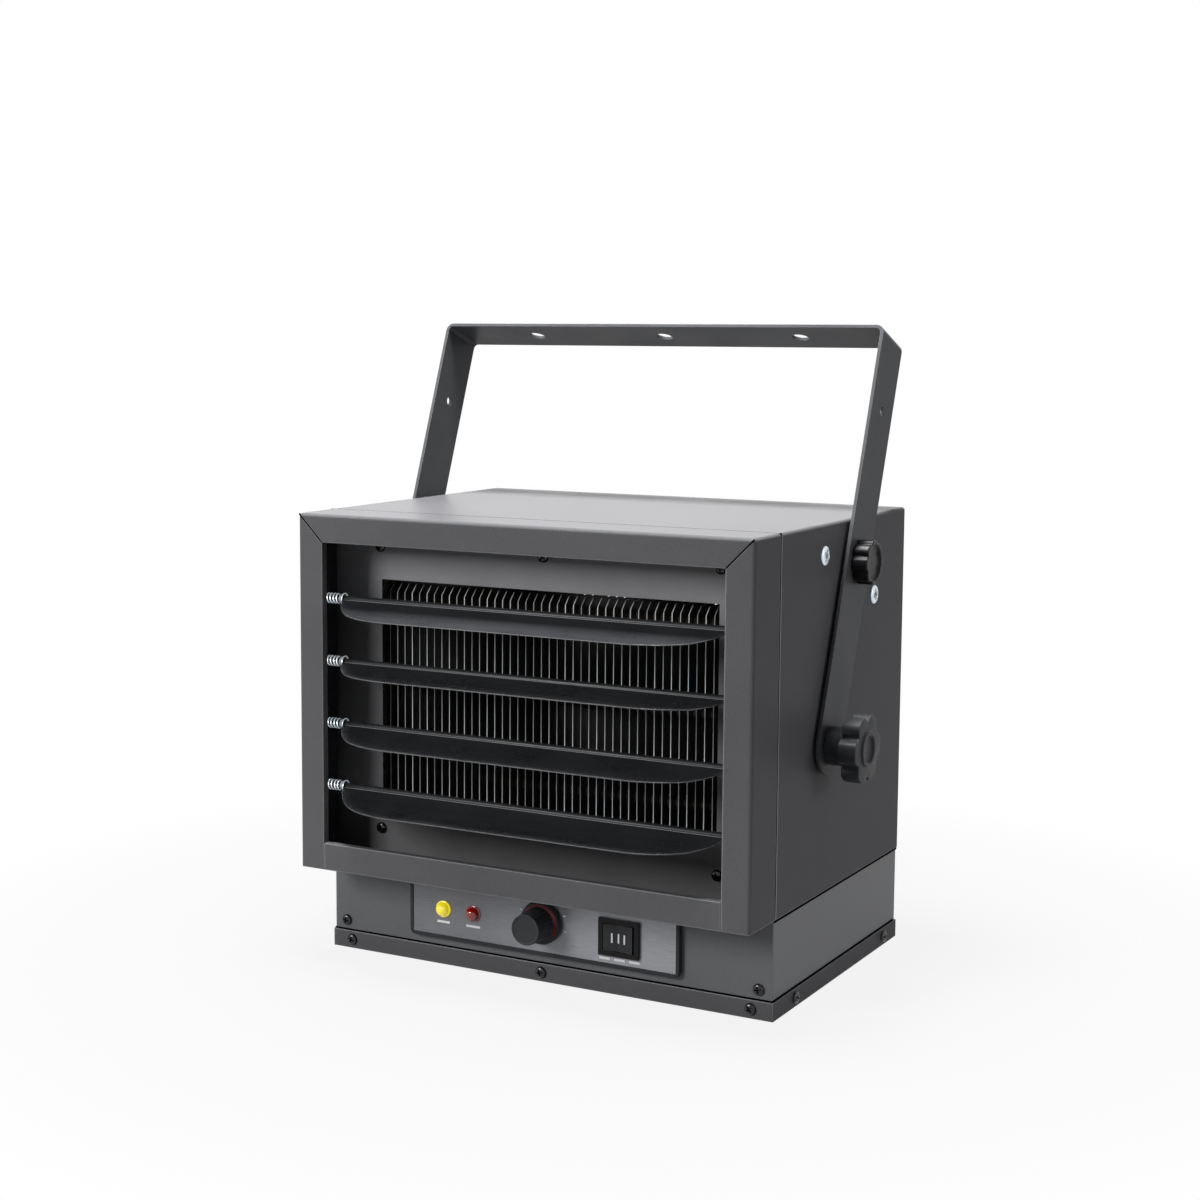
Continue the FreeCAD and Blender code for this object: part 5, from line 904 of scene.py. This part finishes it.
def arc_patch(centre, start, end, inner, outer, y):
    """A crescent round a centre: its width grows from a quarter to full along the angle."""
    angle = np.linspace(start, end, CRESCENT_STEPS)[:, None]
    width = np.linspace(0.25, 1, CRESCENT_STEPS)[:, None] * np.array([[0, 1, 1, 0]])
    radius = inner + (outer - inner) * width
    level = y + INK_THICK * np.array([[0, 0, 1, 1]])
    return grid(np.stack([centre[0] + radius * np.sin(angle), level + np.zeros_like(radius),
                          centre[2] + radius * np.cos(angle)], -1), wrap_columns=True)


# %% Print on the plate, the dial's skirt and the rocker
LAMP_BAR_Z, LAMP_BARS, LAMP_BAR_HIGH = 33.6, {"power_lamp": 11, "warning_lamp": 12}, 1.7
SWITCH_BAR_Z, SWITCH_BAR_GAP, SWITCH_BAR = 26.6, 12, (8.5, 1.6)
TICK_RADIUS, TICK, TICK_ANGLES = 19.3, (0.7, 2.2), np.radians(np.linspace(-140, 140, 9))
MARK_Z, MARK_GAP, MARK, MARK_RISE = 43.0, 5.0, (1.2, 7.0), 0.12
ROCKER_HALF, ROCKER_HOLLOW = 11.4, 1.5
CRESCENT_ANGLES, CRESCENT_RADII = np.radians([-55, 125]), (13.1, 14.5)

ink = box_mm("control_plate")[0][1] - INK_RISE
switch_x = middle_mm("switch_housing")[0]
white_print = [patch(middle_mm(node)[0], LAMP_BAR_Z, width, LAMP_BAR_HIGH, ink)
               for node, width in LAMP_BARS.items()]
white_print += [patch(switch_x + step * SWITCH_BAR_GAP, SWITCH_BAR_Z, *SWITCH_BAR, ink)
                for step in (-1, 0, 1)]
white_print += [patch(dial[0] + TICK_RADIUS * math.sin(angle), dial[2] + TICK_RADIUS * math.cos(angle),
                      *TICK, ink, -angle) for angle in TICK_ANGLES]
piece("plate_print_white", white_print, white_ink, "cabinet", crease=30)
red_print = arc_patch(dial, *CRESCENT_ANGLES, *CRESCENT_RADII, dial[1] - SKIRT - INK_RISE)
piece("skirt_print_red", [red_print], red_ink, "thermostat_knob")
# The rocker's face is hollow: it lies deepest in the middle.
rocker_front = box_mm("switch_rocker")[0][1]
marks = [patch(switch_x + dx, MARK_Z, *MARK,
               rocker_front + ROCKER_HOLLOW * (1 - abs(dx) / ROCKER_HALF) - MARK_RISE)
         for dx in (-MARK_GAP, 0, MARK_GAP)]
piece("rocker_marks", marks, white_ink, "switch_rocker")

# %% [markdown]
# ## Fan guard
# The guard at the back is bent from round wire: rings held by spokes. Each ring is a circle carried round the
# fan's axis, and each spoke a straight wire. Bevelled curves would look the same, but are no meshes yet.

# %% Guard wires
GUARD_INNER, GUARD_INSET, GUARD_RINGS, GUARD_SPOKES = 22.0, 1.3, 5, 8
RING_STEPS, SPOKE_STEPS, WIRE, SPOKE_SHARE = 160, 6, 1.28, 0.95

guard_low, guard_high = box_mm("fan_guard")
hub_place = middle_mm("fan_guard") * [0, 1, 1]
outer = (guard_high[0] - guard_low[0]) / 2 - GUARD_INSET
angle = np.linspace(0, 2 * np.pi, RING_STEPS, endpoint=False)
ring_way = np.stack([np.cos(angle), np.zeros_like(angle), np.sin(angle)], -1)
wires = [tube(ring_way * radius + hub_place, ring_way, WIRE, closed=True)
         for radius in np.linspace(GUARD_INNER, outer, GUARD_RINGS)]
for turn in np.linspace(0, 2 * np.pi, GUARD_SPOKES, endpoint=False):
    way = np.array([math.sin(turn), 0, math.cos(turn)])
    line = np.linspace(GUARD_INNER, outer, SPOKE_STEPS)[:, None] * way + hub_place
    wires.append(tube(line, np.tile([[0.0, 1.0, 0.0]], (SPOKE_STEPS, 1)), WIRE * SPOKE_SHARE))
piece("guard_wires", wires, wire_enamel, "cabinet", ["fan_guard"], crease=60)

# %% [markdown]
# ## Seams
# Where two sheets meet, a black strip paints the shadow in the seam. It follows the front edge of the casing,
# the line between the casing and the lower box, the two mitres of the surround and the tray's upturned edge.
# Each strip is a small rectangle carried along its line. An open gap of this width would be lost between two
# pixels. Behind the upright seams, the casing's sheet is folded into a narrow hem, whose paler paint is a
# painted highlight of the light that its edge catches.

# %% Painted seam shadows and hem highlights
SEAM, BEAD_DEEP, MITRE_START, MITRE_RUN = 0.9, 0.9, 0.6, 21.0
# Widths of the strips, and how far each lies below its surface, or above it where the number is negative.
ARCH_STRIP, SILL_STRIP, MITRE_STRIP, LIP_STRIP, HEM = 1.2, 2.0, 1.1, 1.2, 1.3
FLUSH, SILL_SUNK, LIP_SUNK, HEM_SUNK = -0.03, 0.35, -0.6, -0.06
# How far the hem lies behind the casing's edge, and how far short of their sheets the lines end.
HEM_BACK, HEM_UP, HEM_DOWN, ARCH_UP, LIP_SHORT = 0.85, 0.5, 1.5, 1.0, 4.0
DIAGONAL = 0.707
BACKWARD, UPWARD = (0.0, 1.0, 0.0), (0.0, 0.0, 1.0)


def bead(path, inward, across, width, sunk):
    """Along a path, a rectangle from -width/2 to width/2 across and from sunk to sunk + depth inward."""
    corners = np.array([(sunk, -width / 2), (sunk, width / 2), (sunk + BEAD_DEEP, width / 2),
                        (sunk + BEAD_DEEP, -width / 2)])
    inward, across = (np.broadcast_to(way, path.shape)[:, None] for way in (inward, across))
    rings = path[:, None] + corners[None, :, :1] * inward + corners[None, :, 1:] * across
    ends = [np.broadcast_to(ring.mean(axis=0), ring.shape)[None] for ring in (rings[0], rings[-1])]
    return grid(np.concatenate([ends[0], rings, ends[1]]), wrap_columns=True)


wrap_low, wrap_high = box_mm("casing_wrap")
wall_low, wall_high = box_mm("control_box")
face_y = box_mm("front_surround")[0][1]

foot = wrap_low[2] + ARCH_UP
arch = [(-1, foot), (-1, wrap_high[2]), (1, wrap_high[2]), (1, foot)]
arch_path = np.array([(side * wrap_high[0], wrap_low[1] - SEAM / 2, z) for side, z in arch])
arch_in = np.array([(1, 0, 0), (1, 0, -1), (-1, 0, -1), (-1, 0, 0)], float)
shade_strips, hems = [bead(arch_path, arch_in, BACKWARD, ARCH_STRIP, FLUSH)], []
for side in (-1, 1):
    x, inward = side * wrap_high[0], (-side, 0.0, 0.0)
    hem = np.array([(x, wrap_low[1] + HEM_BACK, z)
                    for z in (wrap_low[2] + HEM_UP, wrap_high[2] - HEM_DOWN)])
    hems.append(bead(hem, inward, BACKWARD, HEM, HEM_SUNK))
    sill = np.array([(x, y, wall_high[2]) for y in (wrap_low[1], wrap_high[1])])
    shade_strips.append(bead(sill, inward, UPWARD, SILL_STRIP, SILL_SUNK))
    mitre = np.array([(x - side * run, face_y, wrap_high[2] - run) for run in (MITRE_START, MITRE_RUN)])
    shade_strips.append(bead(mitre, BACKWARD, (-side * DIAGONAL, 0.0, DIAGONAL), MITRE_STRIP, FLUSH))

lip_z, lip_back = box_mm("base_tray")[1][2] + LIP_STRIP / 2, BACK - LIP_SHORT
lip = [(-1, lip_back), (-1, wall_low[1]), (1, wall_low[1]), (1, lip_back)]
lip_path = np.array([(side * wall_high[0], y, lip_z) for side, y in lip])
lip_in = np.array([(1, 0, 0), (1, 1, 0), (-1, 1, 0), (-1, 0, 0)], float)
shade_strips.append(bead(lip_path, lip_in, UPWARD, LIP_STRIP, LIP_SUNK))
piece("seam_shadow_strips", shade_strips, seam_shade, "cabinet")
piece("casing_hem_highlights", hems, hem_highlight_coat, "cabinet")

# %% [markdown]
# ## Glints
# Plated wire sparkles because some small lamp is always mirrored in it. The last lamp is linked to the
# springs and their cups alone, so that it puts a sparkle there and leaves the paint as it is.

# %% Link the small lamp
plated = bpy.data.collections.new("plated_pieces")
for name in ("louver_coil_springs", *(f"louver_spring_cup_{number}" for number in louver_numbers)):
    plated.objects.link(bpy.data.objects[name])
glint.light_linking.receiver_collection = plated
